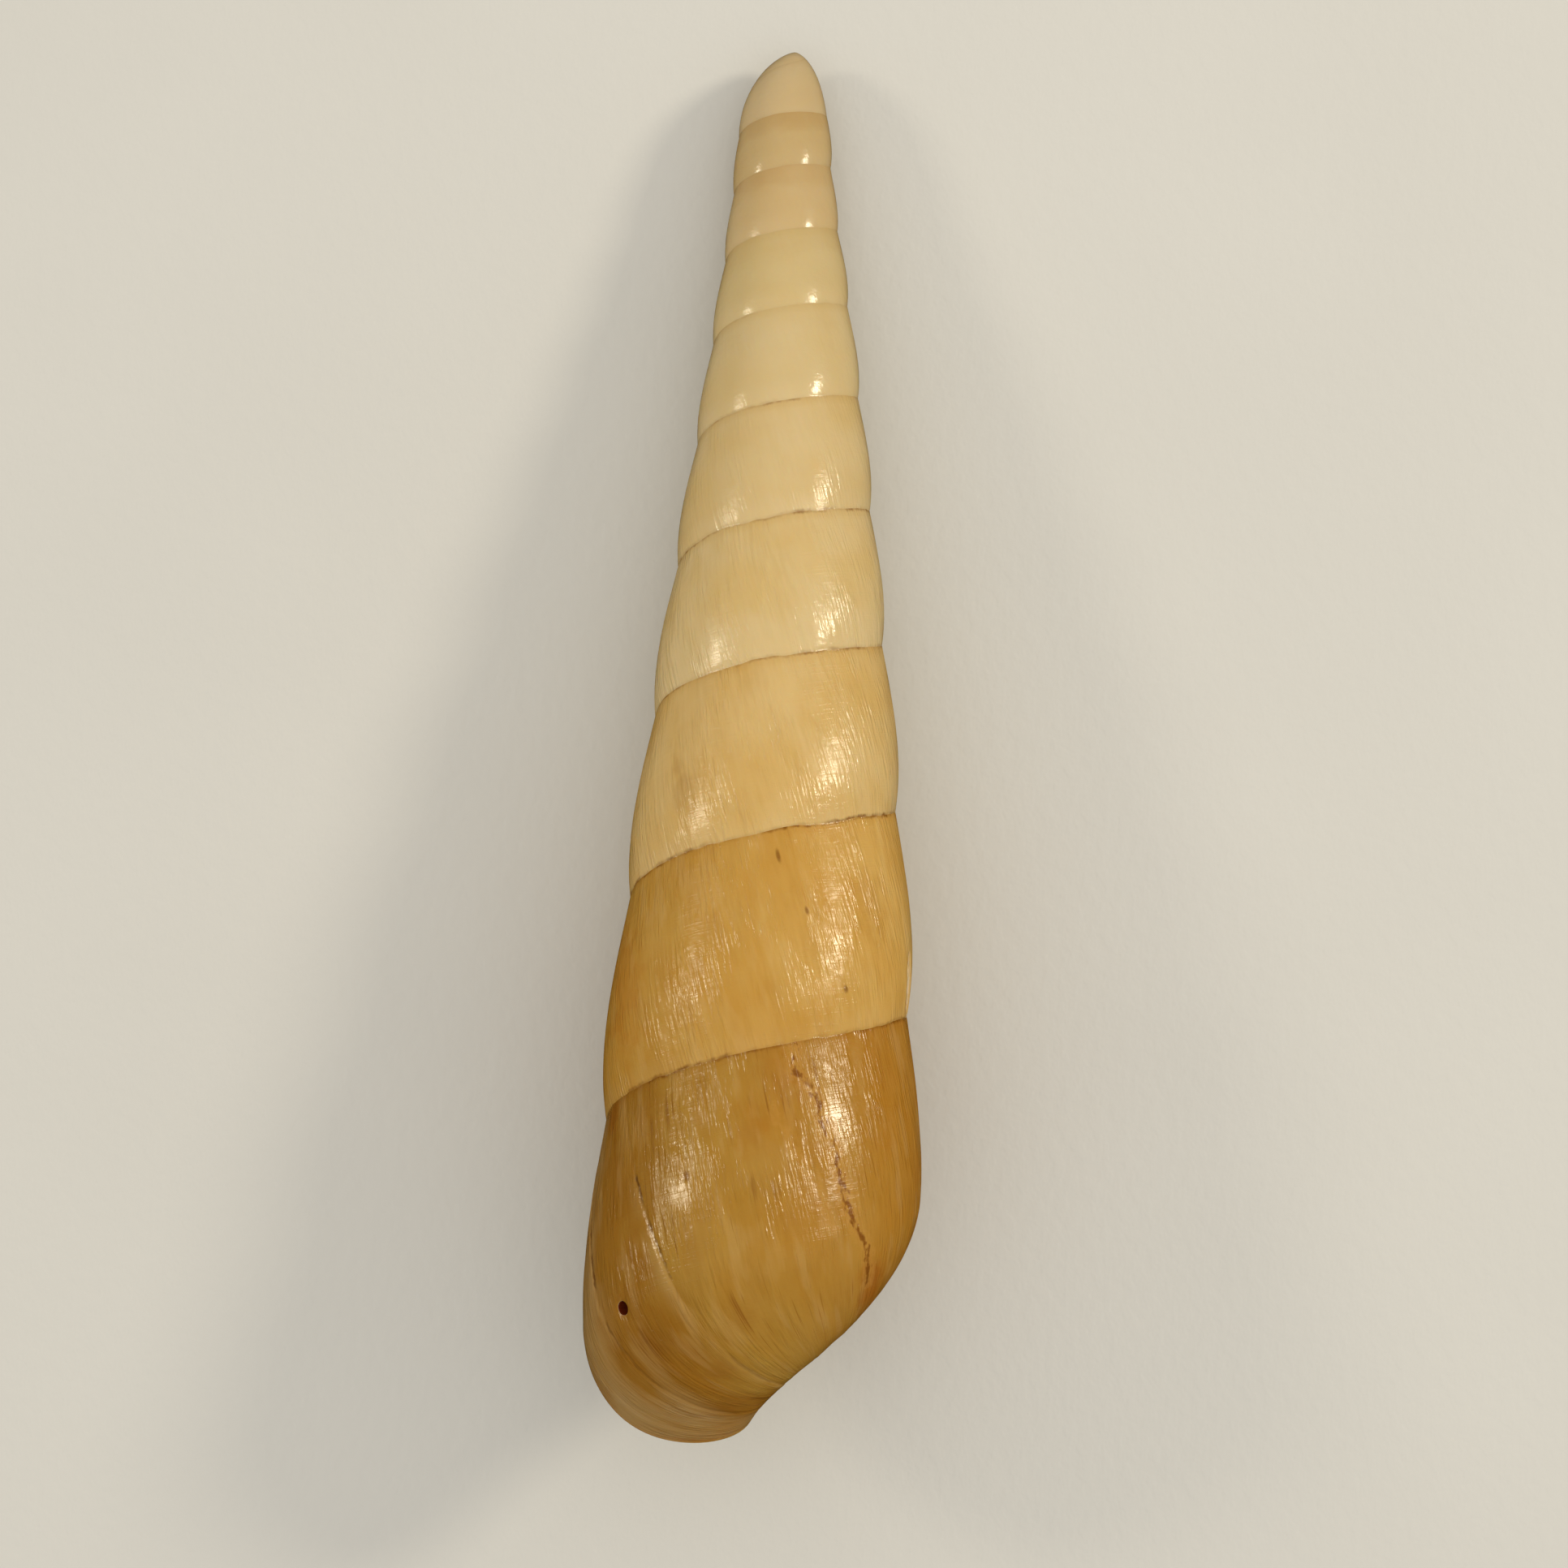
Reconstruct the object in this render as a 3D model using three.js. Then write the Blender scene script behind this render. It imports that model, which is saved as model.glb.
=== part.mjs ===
// A tall-spired sea snail shell, grown as one piece and lying on its mouth side.
// Millimetres, +Z up. The spire points along +Y, and the origin is under the middle of the shell's box.
import * as THREE from "three";

// Coil: heights run down the coiling axis from the tip, and turns are counted along the suture
const turns = 9.56;
const firstWhorlHeight = 1.977;
const whorlGrowth = 1.2;
const tipRise = 1;

// Cone that the sutures lie on, with its round tip and its slight flattening towards the last whorl
const coneStart = 1.271;
const coneSlope = 0.1275;
const coneFlattening = 1.058;
const flatteningDepth = 48;
const flatteningPower = 4;
const tipDepth = 1;
const tipSharpness = 0.75;
const tipSwell = 0.267;
const swellDepth = 2.45;
const swellSpread = 2.87;

// The axis isn't quite straight: the first whorls stand to the left, most at leanDepth, and the spire
// above sagDepth bends a little towards the ground
const leanMost = 0.36;
const leanDepth = 3.55;
const sagAtTip = 0.95;
const sagDepth = 36;

// Whorl sides: the bulge is a share of the whorl's height, and the skew moves it downwards
const whorlBulge = 0.041;
const bulgeSkew = 0.9;

// Base of the last whorl, in shares of the whorl's height below its suture
const hiddenBaseTop = 1;
const openBaseTop = 0.74;
const baseEnd = 1.38;
const basePower = 1.7;
const pillarRadius = 0.64;

// Growth lines lag behind the suture, in turns, and the lip is the last of them
const sideLag = 0.06;
const pillarLag = 0.295;
const pillarLagPower = 3;
const parietalLag = 0.12;
const lagRamp = 0.7;
const baseRamp = 0.4;

// Walls, as shares of the cone's radius, and the passage inside, whose closed end lies endDepth walls deep
const wallShare = 0.13;
const lipShare = 0.045;
const callusShare = 0.04;
const lipTaper = 0.16;
const passageTurns = 5;
const endDepth = 3;
const cornerDeep = 0.38;
const cornerAtLip = 0.28;
const floorEnd = 0.82;
const pillarFloor = 0.16;
const pillarBulge = 0.3;
const pillarTipTaper = 0.3;
const pillarTipShare = 0.4;

// How the shell lies: turned about its axis, then tipped until lip, belly and spire touch the ground
const restRoll = -0.92;
const restPitch = -5.344;

// Fineness of the faces
const stepsPerTurn = 24;
const sideColumns = 6;
const baseColumns = 11;
const outerRingPoints = 9;
const pillarRingPoints = 4;
const parietalRingPoints = 4;
const pillarRows = 12;
const pillarCurves = 3;
const slopeStep = 1e-3;

const { PI, sin, cos, min, max, exp, hypot, floor } = Math;
const mix = (a, b, share) => a + (b - a) * share;
const smooth = (value) => {
  const x = min(max(value, 0), 1);
  return x * x * (3 - 2 * x);
};

// Height of the suture, and radius of the cone there
function sutureHeight(turn) {
  const grown = (firstWhorlHeight / (whorlGrowth - 1)) * (whorlGrowth ** max(turn, 0) - 1);
  return grown + tipRise * (1 - (1 - min(max(turn, 0), 1)) ** 2);
}

function coneRadius(height) {
  const h = max(height, 0);
  const straight = coneStart + coneSlope * h - coneFlattening * (h / flatteningDepth) ** flatteningPower;
  const swell = tipSwell * exp(-(((h - swellDepth) / swellSpread) ** 2));
  return (straight + swell) * (1 - exp(-h / tipDepth)) ** tipSharpness;
}

const lean = (height) => leanMost * (height / leanDepth) * exp(1 - height / leanDepth);
const sag = (height) => sagAtTip * max(1 - height / sagDepth, 0) ** 2;

const whorlHeight = (turn) => sutureHeight(turn + 1) - sutureHeight(turn);

// Where the base begins below the suture: at the next suture, and higher on the free last whorl
const baseTop = (turn) => mix(hiddenBaseTop, openBaseTop, smooth((turn - (turns - 1)) / baseRamp));
const lagShare = (turn) => smooth((turn - (turns - 1)) / lagRamp);

// A point of the side, down shares of the whorl's height below the suture, as radius and height
function sidePoint(turn, down) {
  const height = sutureHeight(turn) + down * whorlHeight(turn);
  const bulge = whorlBulge * whorlHeight(turn) * smooth(turn);
  const swell = 4 * down * (1 - down) * (1 + bulgeSkew * (down - 0.5));
  return [coneRadius(height) + bulge * swell, height];
}

// A point of the base, arc 0 at the side and 1 at the pillar
const baseDown = (top, arc) => top + (baseEnd - top) * sin((arc * PI) / 2) ** (2 / basePower);

function basePoint(turn, top, arc) {
  const edge = sidePoint(turn, top)[0];
  const radius = pillarRadius + (edge - pillarRadius) * cos((arc * PI) / 2) ** (2 / basePower);
  return [radius, sutureHeight(turn) + baseDown(top, arc) * whorlHeight(turn)];
}

// A point of one growth line: place runs from 0 at the suture to 1 at the base and 2 at the pillar
function shellPoint(growth, place) {
  const top = baseTop(growth);
  const arc = max(place - 1, 0);
  const down = place <= 1 ? place * top : baseDown(top, arc);
  const lag = lagShare(growth) * (sideLag * down + pillarLag * arc ** pillarLagPower);
  const turn = growth - lag;
  const [radius, height] = place <= 1 ? sidePoint(turn, down) : basePoint(turn, top, arc);
  return { radius, height, turn };
}

// The same point moved inwards along the section's normal
function insetPoint(growth, place, inset) {
  const point = shellPoint(growth, place);
  const before = shellPoint(growth, max(place - slopeStep, 0));
  const after = shellPoint(growth, min(place + slopeStep, 2 - slopeStep));
  const along = [after.radius - before.radius, after.height - before.height];
  const length = hypot(...along);
  const radius = point.radius - (inset * along[1]) / length;
  const height = point.height + (inset * along[0]) / length;
  return { radius, height, turn: point.turn };
}

// Vertices and triangles of the whole shell
const positions = [];
const triangles = [];

function addVertex({ radius, height, turn }) {
  const angle = 2 * PI * turn;
  positions.push(radius * cos(angle) - lean(height), -height, radius * sin(angle) - sag(height));
  return positions.length / 3 - 1;
}

// Corners come clockwise as seen from outside, and go in counter-clockwise
function addTriangle(a, b, c) {
  if (a !== b && b !== c && c !== a) triangles.push(a, c, b);
}

const distance = (a, b) =>
  hypot(
    positions[3 * a] - positions[3 * b],
    positions[3 * a + 1] - positions[3 * b + 1],
    positions[3 * a + 2] - positions[3 * b + 2],
  );

// The shorter diagonal keeps the twisted faces near the pillar smooth
function addQuad(a, b, c, d) {
  if (distance(a, c) <= distance(b, d)) {
    addTriangle(a, b, c);
    addTriangle(a, c, d);
  } else {
    addTriangle(a, b, d);
    addTriangle(b, c, d);
  }
}

// How far along its own length each vertex of a chain lies, from 0 to 1
function shares(chain) {
  const lengths = [0];
  chain.slice(1).forEach((vertex, i) => lengths.push(lengths[i] + distance(chain[i], vertex)));
  return lengths.map((length) => length / lengths.at(-1));
}

// Faces between two chains of vertices that run side by side
function zip(left, right) {
  const leftShares = shares(left);
  const rightShares = shares(right);
  let i = 0;
  let j = 0;
  while (i < left.length - 1 || j < right.length - 1) {
    const leftIsNext = i < left.length - 1 && leftShares[i + 1] <= rightShares[j + 1];
    if (leftIsNext || j === right.length - 1) {
      addTriangle(left[i], left[i + 1], right[j]);
      i += 1;
    } else {
      addTriangle(left[i], right[j + 1], right[j]);
      j += 1;
    }
  }
}

// Outside: rows are counted back from the lip, and a side's last column is the next turn's suture
const rows = floor((turns + 1) * stepsPerTurn);
const lastTurnRow = rows - stepsPerTurn;
const rowGrowth = (row) => turns - (rows - row) / stepsPerTurn;
const apex = addVertex({ radius: 0, height: 0, turn: 0 });
const outside = [];

for (let row = 0; row <= rows; row += 1) {
  const line = [];
  const growth = rowGrowth(row);
  for (let column = 0; column < sideColumns; column += 1) {
    const atApex = row === 0 || (column === 0 && growth <= 0);
    line.push(atApex ? apex : addVertex(shellPoint(growth, column / sideColumns)));
  }
  outside.push(line);
}
for (let row = 0; row < lastTurnRow; row += 1) outside[row].push(outside[row + stepsPerTurn][0]);
outside[lastTurnRow].push(outside[rows][0]);
for (let row = lastTurnRow; row <= rows; row += 1) {
  const firstColumn = row === lastTurnRow ? 1 : 0;
  for (let column = firstColumn; column <= baseColumns; column += 1) {
    outside[row].push(addVertex(shellPoint(rowGrowth(row), 1 + column / baseColumns)));
  }
}
for (let row = 0; row < rows; row += 1) {
  const columns = row < lastTurnRow ? sideColumns : sideColumns + baseColumns;
  for (let column = 0; column < columns; column += 1) {
    addQuad(
      outside[row][column],
      outside[row][column + 1],
      outside[row + 1][column + 1],
      outside[row + 1][column],
    );
  }
}

// Inside: rings of the passage from its closed end to the mouth
function wallAt(growth) {
  const lipCloseness = smooth(1 - (turns - growth) / lipTaper);
  return mix(wallShare, lipShare, lipCloseness) * coneRadius(sutureHeight(growth));
}

// The older whorl's base under a layer of callus, from the suture to the pillar
function parietalPoint(growth, arc) {
  const turn = growth - lagShare(growth) * parietalLag * arc;
  const callus = callusShare * coneRadius(sutureHeight(growth));
  const [radius, height] = basePoint(turn - 1, hiddenBaseTop, arc);
  const tilt = (arc * PI) / 2;
  return { radius: radius + callus * cos(tilt), height: height + callus * sin(tilt), turn };
}

// The pillar's wall in the passage, share 0 at the passage's floor and 1 at the older whorl's base
function pillarPoint(growth, share) {
  const lag = mix(sideLag * baseEnd + pillarLag, parietalLag, share);
  const turn = growth - lagShare(growth) * lag;
  const callus = callusShare * coneRadius(sutureHeight(growth));
  const top = parietalPoint(growth, 1).height;
  const floorHeight = shellPoint(growth, 2).height - wallAt(growth);
  return { radius: pillarRadius + callus, height: mix(floorHeight, top, share), turn };
}

function ringAt(growth) {
  const lipCloseness = smooth(1 - (turns - growth) / lipTaper);
  const corner = mix(cornerDeep, cornerAtLip, lipCloseness);
  const cornerPoint = parietalPoint(growth, corner);
  const cornerPlace = (cornerPoint.height - sutureHeight(growth)) / whorlHeight(growth) / baseTop(growth);
  const ring = [cornerPoint];
  for (let i = 1; i <= outerRingPoints; i += 1) {
    ring.push(insetPoint(growth, mix(cornerPlace, 1 + floorEnd, i / outerRingPoints), wallAt(growth)));
  }
  for (let i = 0; i < pillarRingPoints; i += 1) {
    ring.push(pillarPoint(growth, mix(pillarFloor, 1, i / pillarRingPoints)));
  }
  for (let i = 0; i < parietalRingPoints; i += 1) {
    ring.push(parietalPoint(growth, mix(1, corner, i / parietalRingPoints)));
  }
  return ring.map(addVertex);
}

const passageRows = passageTurns * stepsPerTurn;
const rings = [];
for (let row = rows - passageRows; row <= rows; row += 1) rings.push(ringAt(rowGrowth(row)));
for (let row = 0; row < passageRows; row += 1) {
  rings[row].forEach((vertex, i) => {
    const next = (i + 1) % rings[row].length;
    addQuad(vertex, rings[row + 1][i], rings[row + 1][next], rings[row][next]);
  });
}
const endGrowth = rowGrowth(rows - passageRows);
const endCentre = addVertex(insetPoint(endGrowth, 1, endDepth * wallAt(endGrowth)));
rings[0].forEach((vertex, i) => addTriangle(endCentre, vertex, rings[0][(i + 1) % rings[0].length]));

// Lip: the edge between the outside and the passage
const mouth = rings.at(-1);
const lipInside = mouth.slice(0, outerRingPoints + 2);
zip(outside[rows], lipInside);

// Pillar: curves on its open side, between the mouth's edge and the spiral edge of the base
const helix = outside.slice(lastTurnRow).map((line) => line.at(-1)).reverse();
const pillarCurve = (index) => {
  const curve = [helix[0]];
  for (let row = 1; row < pillarRows; row += 1) {
    const share = row / pillarRows;
    const growth = turns - share;
    const edge = shellPoint(growth, 2);
    const inner = pillarPoint(turns, share);
    const across = index / (pillarCurves + 1);
    const swell = 1 + pillarBulge * sin(PI * share) * sin(PI * across);
    const taper = mix(pillarTipTaper, 1, smooth(share / pillarTipShare));
    curve.push(
      addVertex({
        radius: mix(edge.radius, inner.radius, across) * swell * taper,
        height: mix(edge.height, inner.height, across),
        turn: mix(edge.turn + 1, inner.turn, across),
      }),
    );
  }
  return [...curve, helix.at(-1)];
};
let nearest = helix;
for (let index = 1; index <= pillarCurves; index += 1) {
  const curve = pillarCurve(index);
  zip(nearest, curve);
  nearest = curve;
}
const parietalEdge = outside[lastTurnRow].slice(sideColumns, -1).reverse();
const mouthInner = [...mouth.slice(outerRingPoints + 1), mouth[0]];
zip([...nearest, ...parietalEdge], mouthInner);

const geometry = new THREE.BufferGeometry();
geometry.setAttribute("position", new THREE.Float32BufferAttribute(positions, 3));
geometry.setIndex(triangles);
geometry.rotateY(THREE.MathUtils.degToRad(restRoll));
geometry.rotateX(THREE.MathUtils.degToRad(restPitch));
geometry.computeBoundingBox();
const { min: low, max: high } = geometry.boundingBox;
geometry.translate(-(low.x + high.x) / 2, -(low.y + high.y) / 2, -low.z);
geometry.computeVertexNormals();

const glossyShell = new THREE.MeshStandardMaterial({ color: "#c19a58", roughness: 0.3, metalness: 0 });
const shell = new THREE.Mesh(geometry, glossyShell);
shell.name = "shell";

const part = new THREE.Group();
part.add(shell);
export default part;
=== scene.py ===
"""Looks of a tall-spired sea snail shell that lies on its mouth side.

The shell's surface is built anew from the same growth rules as the CAD solid, finely enough for
its growth lines, scars and marks. Lengths are millimetres until the mesh is made, then metres.
"""

import math

import bpy
import numpy as np
from mathutils import Matrix, Vector


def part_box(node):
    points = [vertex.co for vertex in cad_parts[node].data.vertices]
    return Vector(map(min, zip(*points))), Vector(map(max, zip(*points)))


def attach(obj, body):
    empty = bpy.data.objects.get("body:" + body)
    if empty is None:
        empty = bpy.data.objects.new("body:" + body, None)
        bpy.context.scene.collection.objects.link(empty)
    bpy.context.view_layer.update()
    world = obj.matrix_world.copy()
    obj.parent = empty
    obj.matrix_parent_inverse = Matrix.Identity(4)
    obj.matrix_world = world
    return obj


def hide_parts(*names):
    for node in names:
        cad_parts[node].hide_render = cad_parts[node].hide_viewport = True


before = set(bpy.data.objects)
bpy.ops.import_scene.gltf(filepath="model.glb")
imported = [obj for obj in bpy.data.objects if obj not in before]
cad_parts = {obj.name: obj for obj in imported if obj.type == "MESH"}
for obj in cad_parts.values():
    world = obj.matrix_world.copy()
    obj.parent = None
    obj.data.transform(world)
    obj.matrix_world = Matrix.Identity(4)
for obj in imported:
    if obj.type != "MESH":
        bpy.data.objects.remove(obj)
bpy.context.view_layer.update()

MM = 0.001

# Coil: heights run down the coiling axis from the tip, and turns are counted along the suture
TURNS = 9.56
FIRST_WHORL_HEIGHT = 1.977
WHORL_GROWTH = 1.2
TIP_RISE = 1

# Cone that the sutures lie on, with its round tip and its slight flattening towards the last whorl
CONE_START = 1.271
CONE_SLOPE = 0.1275
CONE_FLATTENING = 1.058
FLATTENING_DEPTH = 48
FLATTENING_POWER = 4
TIP_DEPTH = 1
TIP_SHARPNESS = 0.75
TIP_SWELL = 0.267
SWELL_DEPTH = 2.45
SWELL_SPREAD = 2.87

# The axis isn't quite straight: the first whorls stand to the left, most at LEAN_DEPTH, and the spire
# above SAG_DEPTH bends a little towards the ground
LEAN_MOST = 0.36
LEAN_DEPTH = 3.55
SAG_AT_TIP = 0.95
SAG_DEPTH = 36

# Whorl sides and the base of the last whorl
WHORL_BULGE = 0.041
BULGE_SKEW = 0.9
HIDDEN_BASE_TOP = 1
OPEN_BASE_TOP = 0.74
BASE_END = 1.38
BASE_POWER = 1.7
PILLAR_RADIUS = 0.64

# Growth lines lag behind the suture, in turns
SIDE_LAG = 0.06
PILLAR_LAG = 0.295
PILLAR_LAG_POWER = 3
PARIETAL_LAG = 0.12
LAG_RAMP = 0.7
BASE_RAMP = 0.4

# Walls, as shares of the cone's radius, and the passage inside
WALL_SHARE = 0.13
LIP_SHARE = 0.045
CALLUS_SHARE = 0.04
LIP_TAPER = 0.16
PASSAGE_TURNS = 5
END_DEPTH = 3
CORNER_DEEP = 0.38
CORNER_AT_LIP = 0.28
FLOOR_END = 0.82
PILLAR_FLOOR = 0.16
PILLAR_BULGE = 0.3
PILLAR_TIP_TAPER = 0.3
PILLAR_TIP_SHARE = 0.4

# How the shell lies, in degrees
REST_ROLL = -0.92
REST_PITCH = -5.344

# Fineness of the mesh: the rows follow the growth lines, on a lattice of steps per turn
LATTICE = 400
SLOPE_STEP = 1e-3
TINY = 1e-9
COARSE_UNTIL = 2
MEDIUM_UNTIL = 5.5
FEW_COLUMNS = 16
MANY_COLUMNS = 32
MANY_FROM = 7
BASE_COLUMNS = 44
EDGE_CLUSTER = 0.8
OUTER_RING = 56
PILLAR_RING = 14
PARIETAL_RING = 16
PILLAR_ROWS = 72
PILLAR_CURVES = 10
COARSE_STRIDE = 4
MEDIUM_STRIDE = 2
BISECTIONS = 24
SEARCH_FROM = -2.0
SEARCH_TURNS = TURNS + 3
TABLE_FROM = -1
TABLE_TO = 11
TABLE_POINTS = 2401

RANDOM_KNOTS = 509

# Marks of the shell's life: growth in turns, and millimetres down from the suture
FIRST_LIP_MARK = 9.363
SECOND_LIP_MARK = 9.46
LIP_MARK_SLANT = 0.0052
LIP_MARK_BEND = 10.3
WORN_STREAK = 9.2195
WORN_STREAK_SLANT = 0.0041
SIDE_STREAK = 9.265
SIDE_STREAK_SLANT = 0.0063
CHIP = (8.083, 7.0)
CHIP_SIZE = (0.35, 1.3)
PITS = (
    (9.342, 4.3, 0.15, 0.27),
    (8.208, 6.67, 0.11, 0.18),
    (8.230, 3.47, 0.08, 0.2),
    (8.245, 1.1, 0.1, 0.35),
)
PINHOLE = (9.4366, 8.53)
PINHOLE_RADII = (0.26, 0.29)
PINHOLE_DEPTH = 0.5
PINHOLE_POINTS = 28
PINHOLE_START = -3 * math.pi / 4
PINHOLE_RINGS = ((0, 1), (0.015, 0.96), (0.12, 0.88), (0.3, 0.8), (PINHOLE_DEPTH, 0.55))
WINDOW_SHARE = 1.7
FAR = 9

# Relief of the outside: how many millimetres each kind stands out or goes in, and how wide it is
LINE_HEIGHT = 0.003
LATE_LINE_HEIGHT = 0.004
COARSE_LINE_SHARE = 0.9
NARROW_FOLD_HEIGHT = 0.010
BROAD_FOLD_HEIGHT = 0.012
LATE_FOLD_HEIGHT = 0.012
DENT_DEPTH = 0.003
GROOVE_DEPTH = 0.003
LATE_GROOVE_DEPTH = 0.007
GROOVE_WIDTH = 0.1
LIP_LINE_DEPTH = 0.03
LIP_LINE_WIDTH = 0.08
LIP_RIDGE_HEIGHT = 0.035
LIP_RIDGE_LENGTH = 0.7
LIP_RIDGE_RISE = 0.12
WORN_DEPTH = 0.055
WORN_WIDTH = 0.24
PIT_DEPTH_SHARE = 0.15
PIT_SLOPE = 0.7
CHIP_DEPTH = 0.1
CHIP_REACH = 1.1
CHIP_RAGGED = 0.45
CHIP_SLOPE = 0.35
LIP_ROUND_SHARE = 0.45
LIP_ROUND_START = 0.08
TIP_SMOOTH_TURNS = 0.3

# Stages of growth: the turn at which each begins, and the turns until it is full
OLD = (3, 4)
LATE = (8.3, 0.7)
GROOVED = (5, 3)
WOBBLING = (2, 6)

# The suture's wobble, which grows with the whorls and fades at the tip and the lip
WOBBLE_TIP_FADE = 0.5
WOBBLE_LIP_FADE = 0.08
WOBBLE = 0.02
LATE_WOBBLE = 0.03
SHORT_WOBBLE_SHARE = 0.6

# Where a worn streak ends, how far it wanders, and how much fainter the side streak is
STREAK_END = 11.5
STREAK_FADE = 1.5
STREAK_WANDER = 0.2
STREAK_SHORT_WANDER = 0.1
SIDE_STREAK_START = 1.2
SIDE_STREAK_END = 8.5
SIDE_STREAK_FADE = 1
SIDE_STREAK_WANDER = 0.15
SIDE_STREAK_FAINT = 0.22

# Noise of the relief: its size in millimetres along the suture, or along and down, and its seed
SHORT_WOBBLE_NOISE = (0.45, 11)
LONG_WOBBLE_NOISE = (1.7, 12)
LINE_PATCH_NOISE = (0.55, 1.6, 21)
FINE_LINE_NOISE = (0.17, 22)
COARSE_LINE_NOISE = (0.36, 23)
NARROW_FOLD_NOISE = (1.2, 24)
BROAD_FOLD_NOISE = (2.6, 4.5, 25)
DENT_NOISE = (0.7, 1.1, 26)
LATE_FOLD_NOISE = (0.8, 2.2, 27)
WORN_NOISE = (0.2, 0.35, 28)
STREAK_NOISE = (1.1, 31)
STREAK_SHORT_NOISE = (0.4, 32)
SIDE_STREAK_NOISE = (0.9, 33)
CHIP_NOISE = (0.25, 0.3, 34)

# What each corner of a face knows about its place on the shell
ALONG, DOWN, LOW, GROWTH, INSIDE, SCAR, STREAK, CHIPPED = range(8)
NO_SUTURE = 99
ON_OUTSIDE = 0
IN_PASSAGE = 1
IN_PINHOLE = 2


def mix(a, b, share):
    return a + (b - a) * share


def smooth(value):
    x = np.clip(value, 0, 1)
    return x * x * (3 - 2 * x)


def stage_share(growth, stage):
    """How far a stage of growth has come, from 0 to 1."""
    begin, turns = stage
    return smooth((growth - begin) / turns)


# Growth rules, the same as the CAD solid's


def suture_height(turn):
    grown = FIRST_WHORL_HEIGHT / (WHORL_GROWTH - 1) * (WHORL_GROWTH ** np.maximum(turn, 0) - 1)
    return grown + TIP_RISE * (1 - (1 - np.clip(turn, 0, 1)) ** 2)


def cone_radius(height):
    h = np.maximum(height, 0)
    straight = CONE_START + CONE_SLOPE * h - CONE_FLATTENING * (h / FLATTENING_DEPTH) ** FLATTENING_POWER
    swell = TIP_SWELL * np.exp(-(((h - SWELL_DEPTH) / SWELL_SPREAD) ** 2))
    return (straight + swell) * (1 - np.exp(-h / TIP_DEPTH)) ** TIP_SHARPNESS


def lean(height):
    return LEAN_MOST * (height / LEAN_DEPTH) * np.exp(1 - height / LEAN_DEPTH)


def sag(height):
    return SAG_AT_TIP * np.maximum(1 - height / SAG_DEPTH, 0) ** 2


def whorl_height(turn):
    return suture_height(turn + 1) - suture_height(turn)


def base_top(growth):
    return mix(HIDDEN_BASE_TOP, OPEN_BASE_TOP, smooth((growth - (TURNS - 1)) / BASE_RAMP))


def lag_share(growth):
    return smooth((growth - (TURNS - 1)) / LAG_RAMP)


def side_point(turn, down):
    height = suture_height(turn) + down * whorl_height(turn)
    bulge = WHORL_BULGE * whorl_height(turn) * smooth(turn)
    return cone_radius(height) + bulge * 4 * down * (1 - down) * (1 + BULGE_SKEW * (down - 0.5)), height


def base_down(top, arc):
    return top + (BASE_END - top) * np.sin(arc * math.pi / 2) ** (2 / BASE_POWER)


def base_point(turn, top, arc):
    edge = side_point(turn, top)[0]
    inwards = np.abs(np.cos(arc * math.pi / 2)) ** (2 / BASE_POWER)
    radius = PILLAR_RADIUS + (edge - PILLAR_RADIUS) * inwards
    return radius, suture_height(turn) + base_down(top, arc) * whorl_height(turn)


def down_and_arc(growth, place):
    top = base_top(growth)
    arc = np.maximum(place - 1, 0)
    return np.where(place <= 1, place * top, base_down(top, arc)), arc, top


def line_lag(down, arc):
    return SIDE_LAG * down + PILLAR_LAG * arc**PILLAR_LAG_POWER


def shell_point(growth, place):
    """Radius, height and turn of a point of the CAD solid's outside."""
    down, arc, top = down_and_arc(growth, place)
    turn = growth - lag_share(growth) * line_lag(down, arc)
    side = side_point(turn, down)
    base = base_point(turn, top, arc)
    return np.where(place <= 1, side[0], base[0]), np.where(place <= 1, side[1], base[1]), turn


def section_normal(growth, place):
    """Outward direction in the section, as radius and height."""
    before = shell_point(growth, np.maximum(place - SLOPE_STEP, 0))
    after = shell_point(growth, np.minimum(place + SLOPE_STEP, 2 - SLOPE_STEP))
    along = after[0] - before[0], after[1] - before[1]
    length = np.maximum(np.hypot(*along), TINY)
    return along[1] / length, -along[0] / length


def inset_point(growth, place, inset):
    radius, height, turn = shell_point(growth, place)
    normal = section_normal(growth, place)
    return radius - inset * normal[0], height - inset * normal[1], turn


# Noise with its knots on whole numbers, from -1 to 1


def noise_along(length, kind):
    size, seed = kind
    position = length / size
    knots = np.random.default_rng(seed).uniform(-1, 1, RANDOM_KNOTS)
    whole = np.floor(position).astype(int)
    share = smooth(position - whole)
    return mix(knots[whole % RANDOM_KNOTS], knots[(whole + 1) % RANDOM_KNOTS], share)


def noise_across(along, down, kind):
    along_size, down_size, seed = kind
    first = along / along_size
    second = down / down_size
    knots = np.random.default_rng(seed).uniform(-1, 1, (RANDOM_KNOTS, RANDOM_KNOTS))
    i = np.floor(first).astype(int)
    j = np.floor(second).astype(int)
    near = i % RANDOM_KNOTS
    far = (i + 1) % RANDOM_KNOTS
    low = j % RANDOM_KNOTS
    high = (j + 1) % RANDOM_KNOTS
    share = smooth(first - i)
    lower = mix(knots[near, low], knots[far, low], share)
    upper = mix(knots[near, high], knots[far, high], share)
    return mix(lower, upper, smooth(second - j))


# Rows along the growth lines. The end of a row on one whorl is the start of the row ROW_SHIFT later.

ROW_SHIFT = 1 - SIDE_LAG
FREE_FROM = TURNS - ROW_SHIFT
BASE_LAG_RAMP = LAG_RAMP - SIDE_LAG


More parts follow.
